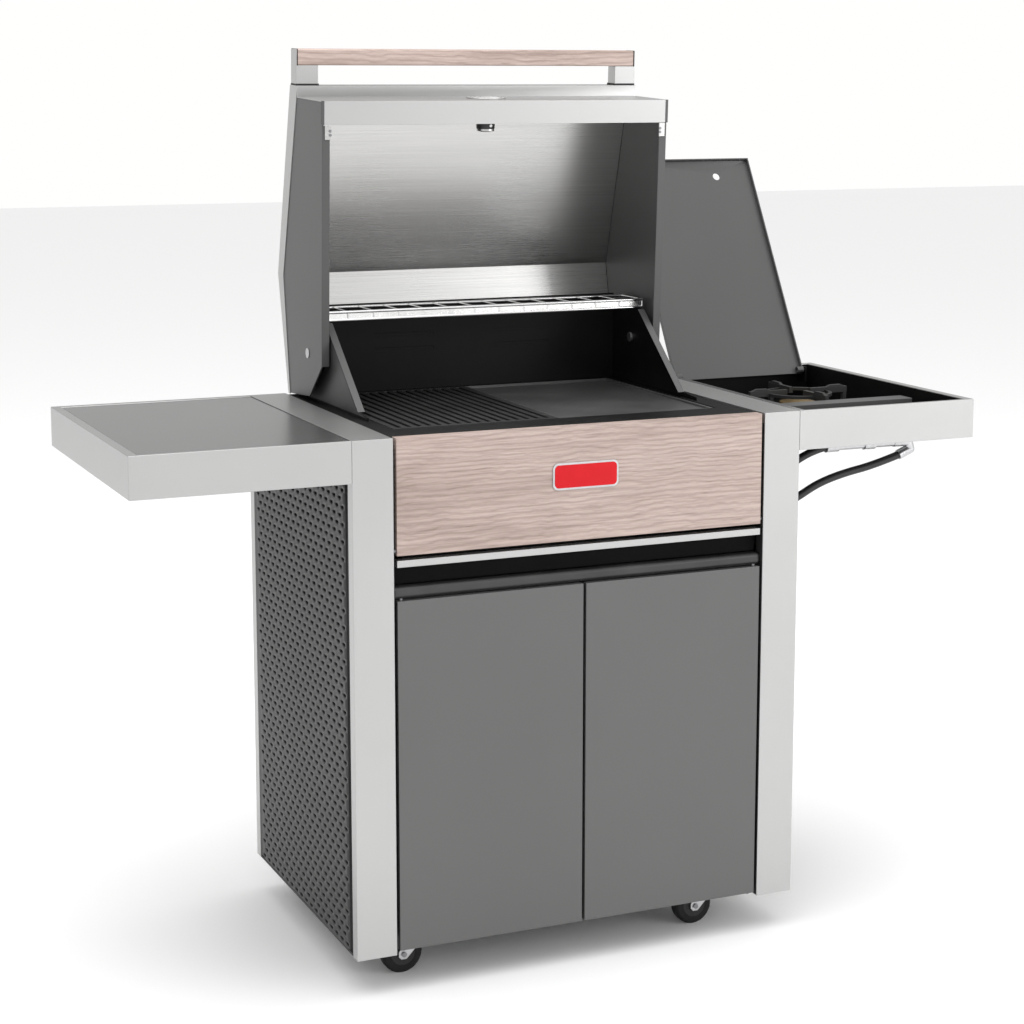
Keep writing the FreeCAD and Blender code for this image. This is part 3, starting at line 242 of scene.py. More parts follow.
# near-black matte sheet material that stands for shade inside the cabinet and behind the tray pull: painted
# shade
SHADE_SHEET_MAT = rough_solid("cabinet_lining", grey(0.004), 0.85, 300.0, 0.05, specular=0.1)
# a lighter copy of the black enamel: painted light for the wings' outer faces, lit from outside
WING_LIT_ENAMEL = rough_solid("wing_enamel_painted_light", grey(0.045), 0.42, 420.0, 0.03, specular=0.4)
GASKET = rough_solid("gasket_rubber", grey(0.010), 0.60, 600.0, 0.05)
DIAL_WHITE = rough_solid("dial_enamel", grey(0.62), 0.35, 60.0, 0.01, 0.04)
SCREW = brushed("screw_steel", (0.24, 0.24, 0.25), 0.36, (400, 400, 400), 0.15)


# ---- Mesh helpers ------------------------------------------------------------------------------------

def finish_mesh(name, bm, mat, smooth_angle=20.0):
    """An object with smooth faces, but for folds sharper than an angle in degrees."""
    mesh = bpy.data.meshes.new(name)
    bmesh.ops.recalc_face_normals(bm, faces=bm.faces)
    bm.to_mesh(mesh)
    bm.free()
    for poly in mesh.polygons:
        poly.use_smooth = True
    mesh.set_sharp_from_angle(angle=math.radians(smooth_angle))
    obj = bpy.data.objects.new(name, mesh)
    bpy.context.scene.collection.objects.link(obj)
    mesh.materials.append(mat)
    return obj


def settle(obj, body, slot, *nodes):
    """Ties a finished piece to its body and hides the CAD nodes that it stands for; its finish (slot) is not
    used.
    """
    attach(obj, body)
    if nodes:
        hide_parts(*nodes)
    return obj


def apply_modifiers(obj):
    bpy.context.view_layer.update()
    graph = bpy.context.evaluated_depsgraph_get()
    mesh = bpy.data.meshes.new_from_object(obj.evaluated_get(graph))
    obj.modifiers.clear()
    obj.data = mesh
    return obj


def add_bevel(obj, width, segments=2, angle=30.0):
    """Rounds the hard edges and keeps flat faces flat."""
    mod = obj.modifiers.new("edges", "BEVEL")
    mod.width = width * MM
    mod.segments = segments
    mod.limit_method = "ANGLE"
    mod.angle_limit = math.radians(angle)
    mod.use_clamp_overlap = True
    mod.harden_normals = True
    return apply_modifiers(obj)


def finished(name, bm, mat, body, slot, *nodes, matrix=None, width=0.0):
    """A made-up piece: set by a matrix, its edges rounded by a width, and tied to its body."""
    if matrix is not None:
        bmesh.ops.transform(bm, matrix=matrix, verts=bm.verts)
    obj = finish_mesh(name, bm, mat)
    if width:
        add_bevel(obj, width)
    return settle(obj, body, slot, *nodes)


def soft_copy(node, width=0.6, segments=2, mat=None):
    """A CAD piece with its hard edges rounded as on the real sheet or casting."""
    source = NODES[node]
    bm = bmesh.new()
    bm.from_mesh(source.data)
    bmesh.ops.transform(bm, matrix=source.matrix_world, verts=bm.verts)
    bmesh.ops.remove_doubles(bm, verts=bm.verts, dist=1e-5)
    bmesh.ops.dissolve_limit(bm, angle_limit=math.radians(0.6), verts=bm.verts, edges=bm.edges)
    slot = SLOT_OF[node]
    obj = finish_mesh(f"{node}_skin", bm, mat or MATS[slot])
    if width:
        add_bevel(obj, width, segments)
    return settle(obj, BODY_OF[node], slot, node)


def box_of(node):
    """A node's low and high corner in metres."""
    low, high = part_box(node)
    return Vector(low), Vector(high)


def box_mm(node):
    """A node's low and high corner in millimetres."""
    low, high = box_of(node)
    return low / MM, high / MM


def across(sign, inner, outer):
    """Two places along X, in rising order, on the left (-1) or the right (1) side."""
    return sorted((sign * inner, sign * outer))


# ---- Punched side panels -----------------------------------------------------------------------------

SLOT_PITCH, ROW_PITCH = 24 * MM, 12.5 * MM
SLOT_LENGTH, SLOT_HEIGHT = 12 * MM, 4.2 * MM
PANEL_MARGIN = 4 * MM


def oblong(y, z, half_length, radius, steps=5):
    """A slot's outline over its top, from its right end to its left end, and the same below."""
    upper = []
    for end, start in ((1, 0), (-1, math.pi / 2)):
        for step in range(steps + 1):
            turn = start + math.pi / 2 * step / steps
            upper.append((y + end * (half_length - radius) + radius * math.cos(turn),
                          z + radius * math.sin(turn)))
    return upper, [(py, 2 * z - pz) for py, pz in upper]


def perforated(node):
    """A side panel punched with rows of short slots, each row half a pitch from the next."""
    low, high = box_of(node)
    x, thick = low.x, high.x - low.x
    columns = int((high.y - low.y - PANEL_MARGIN) / SLOT_PITCH)
    rows = int((high.z - low.z - 2 * PANEL_MARGIN) / ROW_PITCH)
    left = (low.y + high.y - columns * SLOT_PITCH) / 2
    right = left + columns * SLOT_PITCH
    foot = low.z + PANEL_MARGIN
    top = foot + rows * ROW_PITCH
    bm = bmesh.new()

    def face(points):
        bm.faces.new([bm.verts.new((x, py, pz)) for py, pz in points])

    for row in range(rows):
        z0, z1 = foot + row * ROW_PITCH, foot + (row + 1) * ROW_PITCH
        zc = (z0 + z1) / 2
        shift = (row % 2) * SLOT_PITCH / 2
        if shift:
            face([(left, z0), (left + shift, z0), (left + shift, zc), (left + shift, z1), (left, z1)])
            face([(right - shift, z0), (right, z0), (right, z1), (right - shift, z1), (right - shift, zc)])
        for column in range(columns - row % 2):
            y0 = left + shift + column * SLOT_PITCH
            y1, yc = y0 + SLOT_PITCH, y0 + SLOT_PITCH / 2
            upper, lower = oblong(yc, zc, SLOT_LENGTH / 2, SLOT_HEIGHT / 2)
            face([(y0, zc), *reversed(upper), (y1, zc), (y1, z1), (yc, z1), (y0, z1)])
            face([(y0, zc), (y0, z0), (yc, z0), (y1, z0), (y1, zc), *lower])
    for y0, y1 in ((low.y, left), (right, high.y)):
        face([(y0, foot), (y1, foot), (y1, top), (y0, top)])
    for z0, z1 in ((low.z, foot), (top, high.z)):
        face([(low.y, z0), (high.y, z0), (high.y, z1), (low.y, z1)])
    bmesh.ops.remove_doubles(bm, verts=bm.verts, dist=2e-5)
    obj = finish_mesh(f"{node}_punched", bm, MATS["panel_dark"], 30)
    mod = obj.modifiers.new("sheet", "SOLIDIFY")
    mod.thickness = thick
    mod.offset = 0
    apply_modifiers(obj)
    obj.data.transform(Matrix.Translation((thick / 2, 0, 0)))
    return settle(obj, BODY_OF[node], "panel_dark", node)


for side, _ in SIDES:
    perforated(f"{side}_side_panel")


# ---- Every other CAD piece, with rounded edges -------------------------------------------------------

REBUILT = {"left_side_panel", "right_side_panel", "supply_hose", "link_hose", "badge"}
REBUILT |= {node for node in NODES if node.startswith(("brake_pedal", "caster_fork"))}
EDGE_ROUNDING = {"grill_grate": 1.6, "hot_plate": 1.5, "handle_bar": 2.2, "fascia_board": 1.5,
                 "side_trivet": 1.2, "finger_rail": 7.0, "handle_posts": 1.2, "cooktop_rim": 1.5,
                 "hood_skin": 0.4, "hood_liner": 0.3, "windshield": 0.5, "warming_rack": 0.0,
                 "hose_fittings": 0.5, "left_side_frame": 1.0, "right_side_frame": 1.0, "left_shelf": 0.9,
                 "right_shelf": 0.9, "left_door": 1.0, "right_door": 1.0}
USUAL_ROUNDING = 0.6
OTHER_FINISH = {"hinge_pins": SCREW, "handle_bar": LIT_BAR_TIMBER, "grill_grate": GRATE_IRON,
                "side_trivet": GRATE_IRON}

for cad_node in NODES:
    if cad_node not in REBUILT:
        steps = 3 if cad_node == "finger_rail" else 2
        soft_copy(cad_node, EDGE_ROUNDING.get(cad_node, USUAL_ROUNDING), steps, OTHER_FINISH.get(cad_node))


# ---- Simple made-up pieces, in millimetres -----------------------------------------------------------

def block(name, low, high, mat, body, slot, matrix=None, width=0.4):
    """A small rectangular piece with rounded edges, set by a matrix if one is given."""
    bm = bmesh.new()
    bmesh.ops.create_cube(bm, size=1.0)
    size = Vector(high) - Vector(low)
    middle = (Vector(high) + Vector(low)) / 2
    bmesh.ops.scale(bm, vec=size * MM, verts=bm.verts)
    bmesh.ops.translate(bm, vec=middle * MM, verts=bm.verts)
    return finished(name, bm, mat, body, slot, matrix=matrix, width=width)


def disc(name, center, axis, radius, depth, mat, body, slot, matrix=None, width=0.3, sides=32):
    """A round head or barrel centred on a point, along an axis."""
    bm = bmesh.new()
    bmesh.ops.create_cone(bm, cap_ends=True, segments=sides, radius1=radius * MM, radius2=radius * MM,
                          depth=depth * MM)
    turn = Vector((0, 0, 1)).rotation_difference(Vector(axis)).to_matrix().to_4x4()
    place = Matrix.Translation(Vector(center) * MM) @ turn
    if matrix is not None:
        place = matrix @ place
    return finished(name, bm, mat, body, slot, matrix=place, width=width)


def extruded(outline, shift):
    """A flat outline of points, given its thickness along a shift."""
    bm = bmesh.new()
    face = bm.faces.new([bm.verts.new(Vector(point) * MM) for point in outline])
    moved = bmesh.ops.extrude_face_region(bm, geom=[face])["geom"]
    bmesh.ops.translate(bm, vec=Vector(shift) * MM,
                        verts=[v for v in moved if isinstance(v, bmesh.types.BMVert)])
    return bm


def side_sheet(name, outline, x, thick, mat, body, slot):
    """A thin upright sheet facing along X, from its corners (y, z)."""
    bm = extruded([(x, y, z) for y, z in outline], (thick, 0, 0))
    return finished(name, bm, mat, body, slot)


def prism(name, outline, low, high, mat, body, slot, *nodes, matrix=None, width=0.5):
    """An outline (x, z) spread along Y between two places, set by a matrix if one is given."""
    bm = extruded([(x, low, z) for x, z in outline], (0, high - low, 0))
    return finished(name, bm, mat, body, slot, *nodes, matrix=matrix, width=width)


def rounded_plate(name, low, high, corner, mat, body, slot, *nodes, width=0.5):
    """An upright plate seen from the front, with rounded corners."""
    outline = []
    corners = ((high.x - corner, high.z - corner), (low.x + corner, high.z - corner),
               (low.x + corner, low.z + corner), (high.x - corner, low.z + corner))
    for quarter, (x, z) in enumerate(corners):
        for step in range(9):
            angle = math.pi / 2 * (quarter + step / 8)
            outline.append((x + corner * math.cos(angle), high.y, z + corner * math.sin(angle)))
    bm = extruded(outline, (0, low.y - high.y, 0))
    return finished(name, bm, mat, body, slot, *nodes, width=width)


FRAME_LOW, FRAME_HIGH = box_mm("right_side_frame")
TOP, FRONT = FRAME_HIGH.z, FRAME_LOW.y


# ---- Painted shade: a black sheet behind the punched panels ------------------------------------------

SHADE_SHEET_INSET, SHADE_SHEET_THICK = 1.4, 0.3
# a black sheet just inside each punched panel, so the slots show dark: painted shade
for side, sign in SIDES:
    low, high = box_mm(f"{side}_side_panel")
    outer = abs(low.x if sign < 0 else high.x)
    x0, x1 = across(sign, outer - SHADE_SHEET_INSET, outer - SHADE_SHEET_INSET + SHADE_SHEET_THICK)
    block(f"{side}_lining", (x0, low.y + 1, low.z + 1), (x1, high.y - 1, high.z - 1), SHADE_SHEET_MAT,
          "trolley", "panel_dark", width=0)


# ---- Windshield: lips over the louvres; wing faces and edge tops painted lighter as painted light ----

SHIELD_LOW, SHIELD_HIGH = box_mm("windshield")
LOUVRE_SIDE, LOUVRE_LENGTH, LOUVRE_DROPS = 52, 102, (55, 79)
LIP_OVERHANG, LIP_UNDER, LIP_OVER, LIP_PROUD, LIP_BITE = 2, 2, 7, 5, 1.4
for side, sign in SIDES:
    middle = sign * (LOUVRE_SIDE + LOUVRE_LENGTH / 2)
    for drop in LOUVRE_DROPS:
        z = SHIELD_HIGH.z - drop
        block(f"louvre_{side}_{drop}",
              (middle - LOUVRE_LENGTH / 2 - LIP_OVERHANG, SHIELD_HIGH.y - LIP_BITE, z - LIP_UNDER),
              (middle + LOUVRE_LENGTH / 2 + LIP_OVERHANG, SHIELD_HIGH.y + LIP_PROUD, z + LIP_OVER),
              MATS["black_enamel"], "trolley", "black_enamel", width=1.2)

WALL_RISE, WING_TOP, WING_TOE, WING_FLANGE, WING_STEP = 17, 115, 43, 11, 6
FACE_PROUD, FACE_SHEET, EDGE_NEAR, EDGE_FAR = 0.05, 0.3, 0.2, 0.6
WING_TOP_Z, WING_FRONT_Y = SHIELD_HIGH.z - WALL_RISE, SHIELD_HIGH.y - WING_TOP
WING_FOOT_Y = SHIELD_LOW.y + WING_TOE
WING_FACE = [(SHIELD_HIGH.y - 2, TOP + 1), (SHIELD_HIGH.y - 2, WING_TOP_Z), (WING_FRONT_Y + 2, WING_TOP_Z),
             (WING_FOOT_Y + 2, TOP + WING_STEP), (SHIELD_LOW.y + 2, TOP + 2)]
WING_EDGE = [(WING_FRONT_Y - EDGE_FAR, WING_TOP_Z), (WING_FRONT_Y + EDGE_NEAR, WING_TOP_Z),
             (WING_FOOT_Y + EDGE_NEAR, TOP + WING_STEP), (WING_FOOT_Y - EDGE_FAR, TOP + WING_STEP)]
# sheets on the wings' outer faces in the lighter enamel, and on their edge tops in lighter hood paint:
# painted light
for side, sign in SIDES:
    side_sheet(f"wing_face_{side}", WING_FACE, sign * (SHIELD_HIGH.x + FACE_PROUD), sign * FACE_SHEET,
               WING_LIT_ENAMEL, "trolley", "black_enamel")
    side_sheet(f"wing_edge_{side}", WING_EDGE, sign * SHIELD_HIGH.x, -sign * WING_FLANGE,
               MATS["hood_paint"], "trolley", "black_enamel")


# ---- Fittings of the open hood, placed in its closed frame around the pivot --------------------------

HINGE = next(j for j in frame["record"]["behaviour"]["joints"] if j["name"] == "hood_hinge")
SWING = math.radians(max(HINGE["range_deg"]))
HOOD = Matrix.Translation(Vector((0, *HINGE["pos_m"][1:]))) @ Matrix.Rotation(-SWING, 4, "X")
HOOD_REACH, HOOD_FRONT, HOOD_FOOT, HOOD_LIP = 292, 394, 69.5, 36
BROW, BROW_FOOT, BROW_TOP = 17, 49, 85
POST_DEEP, POST_WIDE, POST_RISE, BAR_HIGH = 26, 36, 31, 25
POST_MIDDLE = (BROW_FOOT + BROW_TOP) / 2
POST_TOP_Y = -HOOD_FRONT - BROW - POST_RISE
LIP_END_WIDTH, TAB_OUTER, TAB_INNER, TAB_LENGTH, TAB_SCREW_X, TAB_SCREWS = 4.4, 5, 15, 22, 13.5, (9, 15)
POST_GASKET, BAR_GASKET_OUTER, BAR_GASKET_INNER = 3, 1.3, 2.6

for side, sign in SIDES:
    x0, x1 = across(sign, HOOD_REACH - LIP_END_WIDTH, HOOD_REACH)
    block(f"lip_end_{side}", (x0, -HOOD_FRONT - 0.25, -HOOD_FOOT - 0.5),
          (x1, -HOOD_FRONT + HOOD_LIP, -HOOD_FOOT + 2), MATS["hood_paint"], "hood", "hood_paint", HOOD, 0.2)
    x0, x1 = across(sign, HOOD_REACH - TAB_INNER, HOOD_REACH - TAB_OUTER)
    block(f"lip_tab_{side}", (x0, -HOOD_FRONT + HOOD_LIP + 0.5, -HOOD_FOOT - 0.6),
          (x1, -HOOD_FRONT + HOOD_LIP + TAB_LENGTH, -HOOD_FOOT + 1.2), MATS["stainless"], "hood", "stainless",
          HOOD)
    for number, along in enumerate(TAB_SCREWS):
        disc(f"tab_screw_{side}_{number}", (sign * (HOOD_REACH - TAB_SCREW_X), -HOOD_FRONT + HOOD_LIP + along,
             -HOOD_FOOT - 1.2), (0, 0, 1), 2.1, 1.6, SCREW, "hood", "zinc", HOOD, 0.2, 20)
    x0, x1 = across(sign, HOOD_REACH - POST_WIDE - 1, HOOD_REACH)
    block(f"post_gasket_{side}", (x0, -HOOD_FRONT - BROW - POST_GASKET, POST_MIDDLE - POST_DEEP / 2 - 0.8),
          (x1, -HOOD_FRONT - BROW, POST_MIDDLE + POST_DEEP / 2 + 0.8), GASKET, "hood", "hose_rubber",
          HOOD, 0.3)
    x0, x1 = across(sign, HOOD_REACH - BAR_GASKET_INNER, HOOD_REACH - BAR_GASKET_OUTER)
    block(f"bar_gasket_{side}", (x0, POST_TOP_Y - BAR_HIGH - 0.2, POST_MIDDLE - POST_DEEP / 2 - 0.4),
          (x1, POST_TOP_Y + 0.2, POST_MIDDLE + POST_DEEP / 2 + 0.3), GASKET, "hood", "hose_rubber", HOOD, 0.1)


# ---- Hood gauge: housing inside, dial outside --------------------------------------------------------

GAUGE_ALONG, GAUGE_FACE = -10, 1.5
disc("gauge_housing", (0, -HOOD_FRONT + 40, GAUGE_ALONG), (0, 1, 0), 14.6, 24, MATS["black_metal"], "hood",
     "black_metal", HOOD, 6.0, 48)
disc("gauge_nut", (0, -HOOD_FRONT + 22, GAUGE_ALONG), (0, 1, 0), 16.0, 9, MATS["zinc"], "hood", "zinc", HOOD,
     0.6, 6)
disc("gauge_screw", (3, -HOOD_FRONT + 42, GAUGE_ALONG - 14), (0, 0, 1), 2.4, 2.4, MATS["chrome"], "hood",
     "chrome", HOOD, 0.3, 20)

DIAL_RADIUS, TICKS, TICK_STEP, LONG_TICK, SHORT_TICK, LONG_EVERY, NEEDLE_AT = 28, 11, 25, 7, 5, 5, 2
DIAL = HOOD @ Matrix.Translation(Vector((0, -HOOD_FRONT - GAUGE_FACE, GAUGE_ALONG)) * MM)
disc("gauge_dial", (0, -0.1, 0), (0, 1, 0), DIAL_RADIUS, 0.3, DIAL_WHITE, "hood", "chrome", DIAL, 0, 64)
for number in range(TICKS):
    lean = DIAL @ Matrix.Rotation(math.radians(TICK_STEP * (number - (TICKS - 1) / 2)), 4, "Y")
    inner = DIAL_RADIUS - (SHORT_TICK if number % LONG_EVERY else LONG_TICK)
    block(f"gauge_tick_{number}", (-0.5, -0.5, inner), (0.5, -0.2, DIAL_RADIUS - 2), GASKET, "hood", "chrome",
          lean, 0)
    if number == NEEDLE_AT:
        block("gauge_needle", (-0.8, -0.9, -7), (0.8, -0.6, inner - 1), GASKET, "hood", "chrome", lean, 0)
disc("gauge_boss", (0, -0.6, 0), (0, 1, 0), 3.4, 1.0, MATS["zinc"], "hood", "chrome", DIAL, 0.2, 32)


# ---- Warming rack's hammered strip -------------------------------------------------------------------

RACK_LOW, RACK_HIGH = box_mm("warming_rack")
block("rack_strip", (RACK_LOW.x + 1, RACK_LOW.y + 1.8, RACK_LOW.z + 2),
      (RACK_HIGH.x - 1, RACK_LOW.y + 3.0, RACK_HIGH.z - 2), HAMMERED, "warming_rack", "chrome", width=0)


# ---- Badge: a plain enamelled plate in a satin rim ---------------------------------------------------

BADGE_LOW, BADGE_HIGH = box_mm("badge")
BADGE_RIM, RIM_CORNER, FIELD_CORNER, RIM_SUNK, FIELD_SUNK = 3, 9, 6.5, 0.7, 1
rounded_plate("badge_rim", BADGE_LOW + Vector((0, RIM_SUNK, 0)), BADGE_HIGH, RIM_CORNER, MATS["zinc"],
              BODY_OF["badge"], "chrome")
rounded_plate("badge_field", BADGE_LOW + Vector((BADGE_RIM, 0, BADGE_RIM)),
              BADGE_HIGH - Vector((BADGE_RIM, FIELD_SUNK, BADGE_RIM)), FIELD_CORNER, MATS["badge_red"],
              BODY_OF["badge"], "badge_red", "badge")


# ---- Painted shade in the gaps around the doors, the tray and the shelves ----------------------------

DOOR_SHADE_SHEET, DOOR_SHADE_FRONT, DOOR_SHADE_BACK, DOOR_SHADE_DROP = 0.6, 1.5, 19.5, 16
# a black sheet on each leg's inner face, darkening the gap beside the doors: painted shade
for side, sign in SIDES:
    x0, x1 = across(sign, FRAME_LOW.x, FRAME_LOW.x - DOOR_SHADE_SHEET)
    block(f"door_gap_shade_{side}", (x0, FRONT + DOOR_SHADE_FRONT, FRAME_LOW.z + 2),
          (x1, FRONT + DOOR_SHADE_BACK, TOP - DOOR_SHADE_DROP), GASKET, "trolley", "hose_rubber", width=0)

PULL_LOW, PULL_HIGH = box_mm("tray_pull")
SHADE_DROP, SHADE_BACK = 27, 17
# a black sheet behind the tray pull, darkening the recess under the finger rail: painted shade
block("tray_painted_shade", (PULL_LOW.x + 1, FRONT + SHADE_BACK, PULL_LOW.z - SHADE_DROP),
      (PULL_HIGH.x - 1, FRONT + SHADE_BACK + 1, PULL_LOW.z + 1), SHADE_SHEET_MAT, "drip_tray", "black_enamel", width=0)

SHELF_LOW, SHELF_HIGH = box_mm("right_shelf")
GAP_SHADE_HALF = 0.7
# a black strip in the gap between each leg and its shelf: painted shade
for side, sign in SIDES:
    x0, x1 = across(sign, SHELF_LOW.x - GAP_SHADE_HALF, SHELF_LOW.x + GAP_SHADE_HALF)
    block(f"shelf_gap_shade_{side}", (x0, FRONT + 0.35, SHELF_LOW.z + 0.4), (x1, SHELF_HIGH.y - 0.4, TOP - 0.3),
          GASKET, "trolley", "hose_rubber", width=0)


# ---- Side burner: top strip, drip bowl and trivet fingers --------------------------------------------

WELL_LOW = box_mm("side_burner_well")[0]
RING_LOW, RING_HIGH = box_mm("side_burner_ring")
RING_MIDDLE = (RING_LOW + RING_HIGH) / 2
STRIP_FRONT, STRIP_BACK, STRIP_WIDE, STRIP_LOW, STRIP_HIGH = 7, 481, 17, 4.5, 1.6
block("well_strip", (WELL_LOW.x + 0.5, FRONT + STRIP_FRONT, TOP - STRIP_LOW),
      (WELL_LOW.x + STRIP_WIDE, FRONT + STRIP_BACK, TOP - STRIP_HIGH), MATS["shelf_grey"], "trolley",
      "black_enamel")
disc("drip_bowl", (RING_MIDDLE.x, RING_MIDDLE.y, WELL_LOW.z + 4.5), (0, 0, 1), 82, 3, MATS["stainless"],
     "trolley", "stainless", None, 1.0, 64)

FINGER = [(50, -1), (60, 3.2), (80, 3.6), (91, -1)]
TRIVET_TOP = box_mm("side_trivet")[1].z
for number in range(4):
    turn = Matrix.Translation(Vector((RING_MIDDLE.x, RING_MIDDLE.y, TRIVET_TOP)) * MM) \
        @ Matrix.Rotation(math.radians(90 * number), 4, "Z")
    prism(f"trivet_finger_{number}", FINGER, -3, 3, GRATE_IRON, "trolley", "cast_iron", matrix=turn,
          width=1.0)


# ---- Casters: brake pedals, forks and wheel hubs -----------------------------------------------------

PEDAL_ARM = [(-9, 3), (4, 3), (24, -5), (26, -8), (9, -8), (-3, -5), (-9, -5)]
PEDAL_SHEET, TREAD_FRONT, TREAD_SHEET = 2, 20, 2.5
for side, _ in SIDES:
    node = f"brake_pedal_{side}"
    low, high = box_mm(node)
    at = Matrix.Translation(Vector((low.x + 9, 0, low.z + 8)) * MM)
    for number, y in enumerate((low.y, high.y - PEDAL_SHEET)):
        prism(f"{node}_arm_{number}", PEDAL_ARM, y, y + PEDAL_SHEET, MATS["zinc"], BODY_OF[node], "zinc",
              node, matrix=at, width=0.4)
    block(f"{node}_tread", (low.x + TREAD_FRONT, low.y + 0.3, low.z),
          (high.x, high.y - 0.3, low.z + TREAD_SHEET), MATS["zinc"], BODY_OF[node], "zinc", width=0.8)

CHEEK = [(-8, -4), (-4, -8), (4, -8), (9, -3), (34, 24), (36, 38.5), (12, 38.5), (6, 22), (-8, 4)]
FORK_SHEET, FORK_GAP, BRIDGE_NEAR, BRIDGE_FAR, PIN_PROUD = 2.5, 2.5, 10, 36, 2.8
BRAKE_AHEAD, BRAKE_RISE = 33, 15
for fork in [n for n in NODES if n.startswith("caster_fork")]:
    fork_top = box_mm(fork)[1].z
    wheel_low, wheel_high = box_mm(fork.replace("fork", "wheel"))
    axle = (wheel_low + wheel_high) / 2
    at = Matrix.Translation(Vector((axle.x, 0, axle.z)) * MM)
    inner = (wheel_high.y - wheel_low.y) / 2 + FORK_GAP
    for number, y in enumerate((axle.y - inner - FORK_SHEET, axle.y + inner)):
        prism(f"{fork}_cheek_{number}", CHEEK, y, y + FORK_SHEET, MATS["zinc"], BODY_OF[fork], "zinc", fork,
              matrix=at)
    half = inner + FORK_SHEET - 0.1
    block(f"{fork}_bridge", (axle.x + BRIDGE_NEAR, axle.y - half, fork_top - FORK_SHEET),
          (axle.x + BRIDGE_FAR, axle.y + half, fork_top), MATS["zinc"], BODY_OF[fork], "zinc", width=0.5)
    pins = [("axle", axle.x, axle.z, 4.0)]
    if "front" in fork:
        pins.append(("brake_pin", axle.x + BRAKE_AHEAD, axle.z + BRAKE_RISE, 3.0))
    for label, x, z, radius in pins:
        disc(f"{fork}_{label}", (x, axle.y, z), (0, 1, 0), radius, 2 * (inner + FORK_SHEET + PIN_PROUD),
             SCREW, BODY_OF[fork], "zinc", width=0.6, sides=24)

HUB_RADIUS, HUB_DEPTH, HUB_SUNK = 19, 2.0, 0.4
for wheel in [n for n in NODES if n.startswith("caster_wheel")]:
    low, high = box_mm(wheel)
    middle = (low + high) / 2
    for number, y in enumerate((low.y + HUB_SUNK, high.y - HUB_SUNK)):
        disc(f"{wheel}_hub_{number}", (middle.x, y, middle.z), (0, 1, 0), HUB_RADIUS, HUB_DEPTH, GASKET,
             BODY_OF[wheel], "caster_rubber", width=0.8)


# ---- Knob pointers -----------------------------------------------------------------------------------

POINTER_WIDE, POINTER_LONG, POINTER_PROUD, POINTER_DEEP = 3.2, 12, 0.5, 2
for knob in [n for n in NODES if "burner_knob" in n]:
    low, high = box_mm(knob)
    middle = (low + high) / 2
    block(f"{knob}_pointer", (middle.x - POINTER_WIDE / 2, low.y - POINTER_PROUD, middle.z),
          (middle.x + POINTER_WIDE / 2, low.y + POINTER_DEEP, middle.z + POINTER_LONG), MATS["chrome"],
          BODY_OF[knob], "knob_metal")


# ---- Hoses -------------------------------------------------------------------------------------------

HOSE_BACK = (104 - 338.8) * MM
HOSE_WIDTH = 2 * 6.2 * MM
GLAND_X = 368
SUPPLY_ROUTE = [(606, 719.5), (560, 706), (505, 697), (458, 684), (420, 664), (392, 652), (GLAND_X, 648)]
LINK_ROUTE = [(470, 741.5), (448, 737), (420, 725), (394, 710), (GLAND_X, 704)]


def hose(name, route):
    """A rubber hose through its route of points (x, z), in a plane across the object."""
    curve = bpy.data.curves.new(name, "CURVE")
    curve.dimensions = "3D"
    curve.bevel_depth = HOSE_WIDTH / 2
    curve.bevel_resolution = 6
    curve.resolution_u = 12
    curve.use_fill_caps = True
    spline = curve.splines.new("NURBS")
    spline.points.add(len(route) - 1)
    for point, (x, z) in zip(spline.points, route):
        point.co = (x * MM, HOSE_BACK, z * MM, 1.0)
    spline.order_u = 3
    spline.use_endpoint_u = True
    obj = bpy.data.objects.new(f"{name}_tube", curve)
    bpy.context.scene.collection.objects.link(obj)
    curve.materials.append(MATS["hose_rubber"])
    settle(obj, BODY_OF["supply_hose"], "hose_rubber", name)


hose("supply_hose", SUPPLY_ROUTE)
hose("link_hose", LINK_ROUTE)


# ---- Stage: floor, light and camera ------------------------------------------------------------------

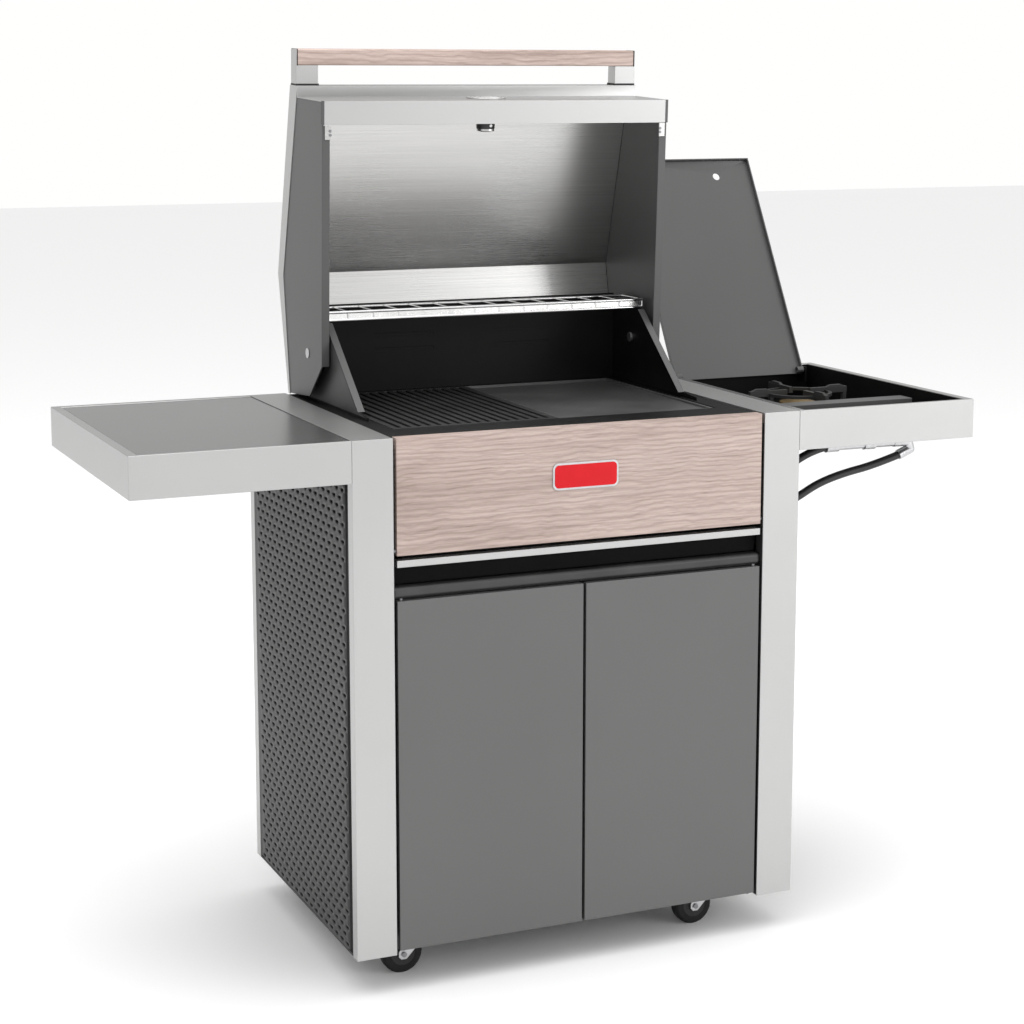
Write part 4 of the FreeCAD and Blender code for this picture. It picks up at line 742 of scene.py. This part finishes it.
def stage():
    """A pale floor under a white studio, with a darker band behind for the metal to reflect."""
    bpy.ops.mesh.primitive_plane_add(size=40, location=(0, 0, 0))
    floor = bpy.context.object
    floor.name = "studio_floor"
    mat, tree, bsdf = new_material("studio_floor")
    bsdf.inputs["Base Color"].default_value = (0.96, 0.96, 0.96, 1)
    bsdf.inputs["Roughness"].default_value = 0.9
    floor.data.materials.append(mat)
    world = bpy.data.worlds.new("studio")
    bpy.context.scene.world = world
    world.use_nodes = True
    tree = world.node_tree
    coords = add(tree, "ShaderNodeTexCoord")
    split = add(tree, "ShaderNodeSeparateXYZ")
    link(tree, coords.outputs["Generated"], split.inputs["Vector"])
    backdrop = ramp(tree, split.outputs["Z"], [(0.0, grey(1.0)), (0.10, grey(1.0)), (0.18, grey(0.42)),
                                               (0.45, grey(0.45)), (0.75, grey(1.0))])
    behind = ramp(tree, split.outputs["Y"], [(0.05, grey(0.0)), (0.45, grey(1.0))])
    mix = add(tree, "ShaderNodeMix", data_type="RGBA")
    link(tree, behind.outputs["Color"], mix.inputs["Factor"])
    mix.inputs[6].default_value = (1.0, 1.0, 1.0, 1.0)
    link(tree, backdrop.outputs["Color"], mix.inputs[7])
    link(tree, mix.outputs[2], tree.nodes["Background"].inputs["Color"])
    tree.nodes["Background"].inputs["Strength"].default_value = 1.0


def area_light(name, place, target, size, power):
    data = bpy.data.lights.new(name, "AREA")
    data.shape = "RECTANGLE"
    data.size, data.size_y = size
    data.energy = power
    obj = bpy.data.objects.new(name, data)
    bpy.context.scene.collection.objects.link(obj)
    obj.location = place
    obj.rotation_euler = (Vector(target) - Vector(place)).to_track_quat("-Z", "Y").to_euler()


def camera(place, azimuth, elevation, lens, rise):
    """Looks from the front left, turned to the right and down by angles in degrees."""
    data = bpy.data.cameras.new("camera")
    obj = bpy.data.objects.new("camera", data)
    bpy.context.scene.collection.objects.link(obj)
    turn, dip = math.radians(azimuth), math.radians(elevation)
    ahead = Vector((math.sin(turn) * math.cos(dip), math.cos(turn) * math.cos(dip), -math.sin(dip)))
    obj.location = place
    obj.rotation_mode = "QUATERNION"
    obj.rotation_quaternion = ahead.to_track_quat("-Z", "Y")
    data.sensor_width = 36.0
    data.lens = lens
    data.shift_y = rise
    data.clip_start, data.clip_end = 0.05, 60.0
    data.dof.use_dof = False
    bpy.context.scene.camera = obj


stage()
area_light("key", (3.4, -3.8, 1.7), (0.2, 0, 0.7), (2.4, 2.0), 55)
area_light("top", (-0.4, -0.8, 5.0), (0, 0, 0), (5.0, 5.0), 160)
camera(place=(-1.358, -3.2008, 1.316), azimuth=23.44, elevation=9.02, lens=77.4492, rise=-0.08)
bpy.context.scene.view_settings.view_transform = "Standard"
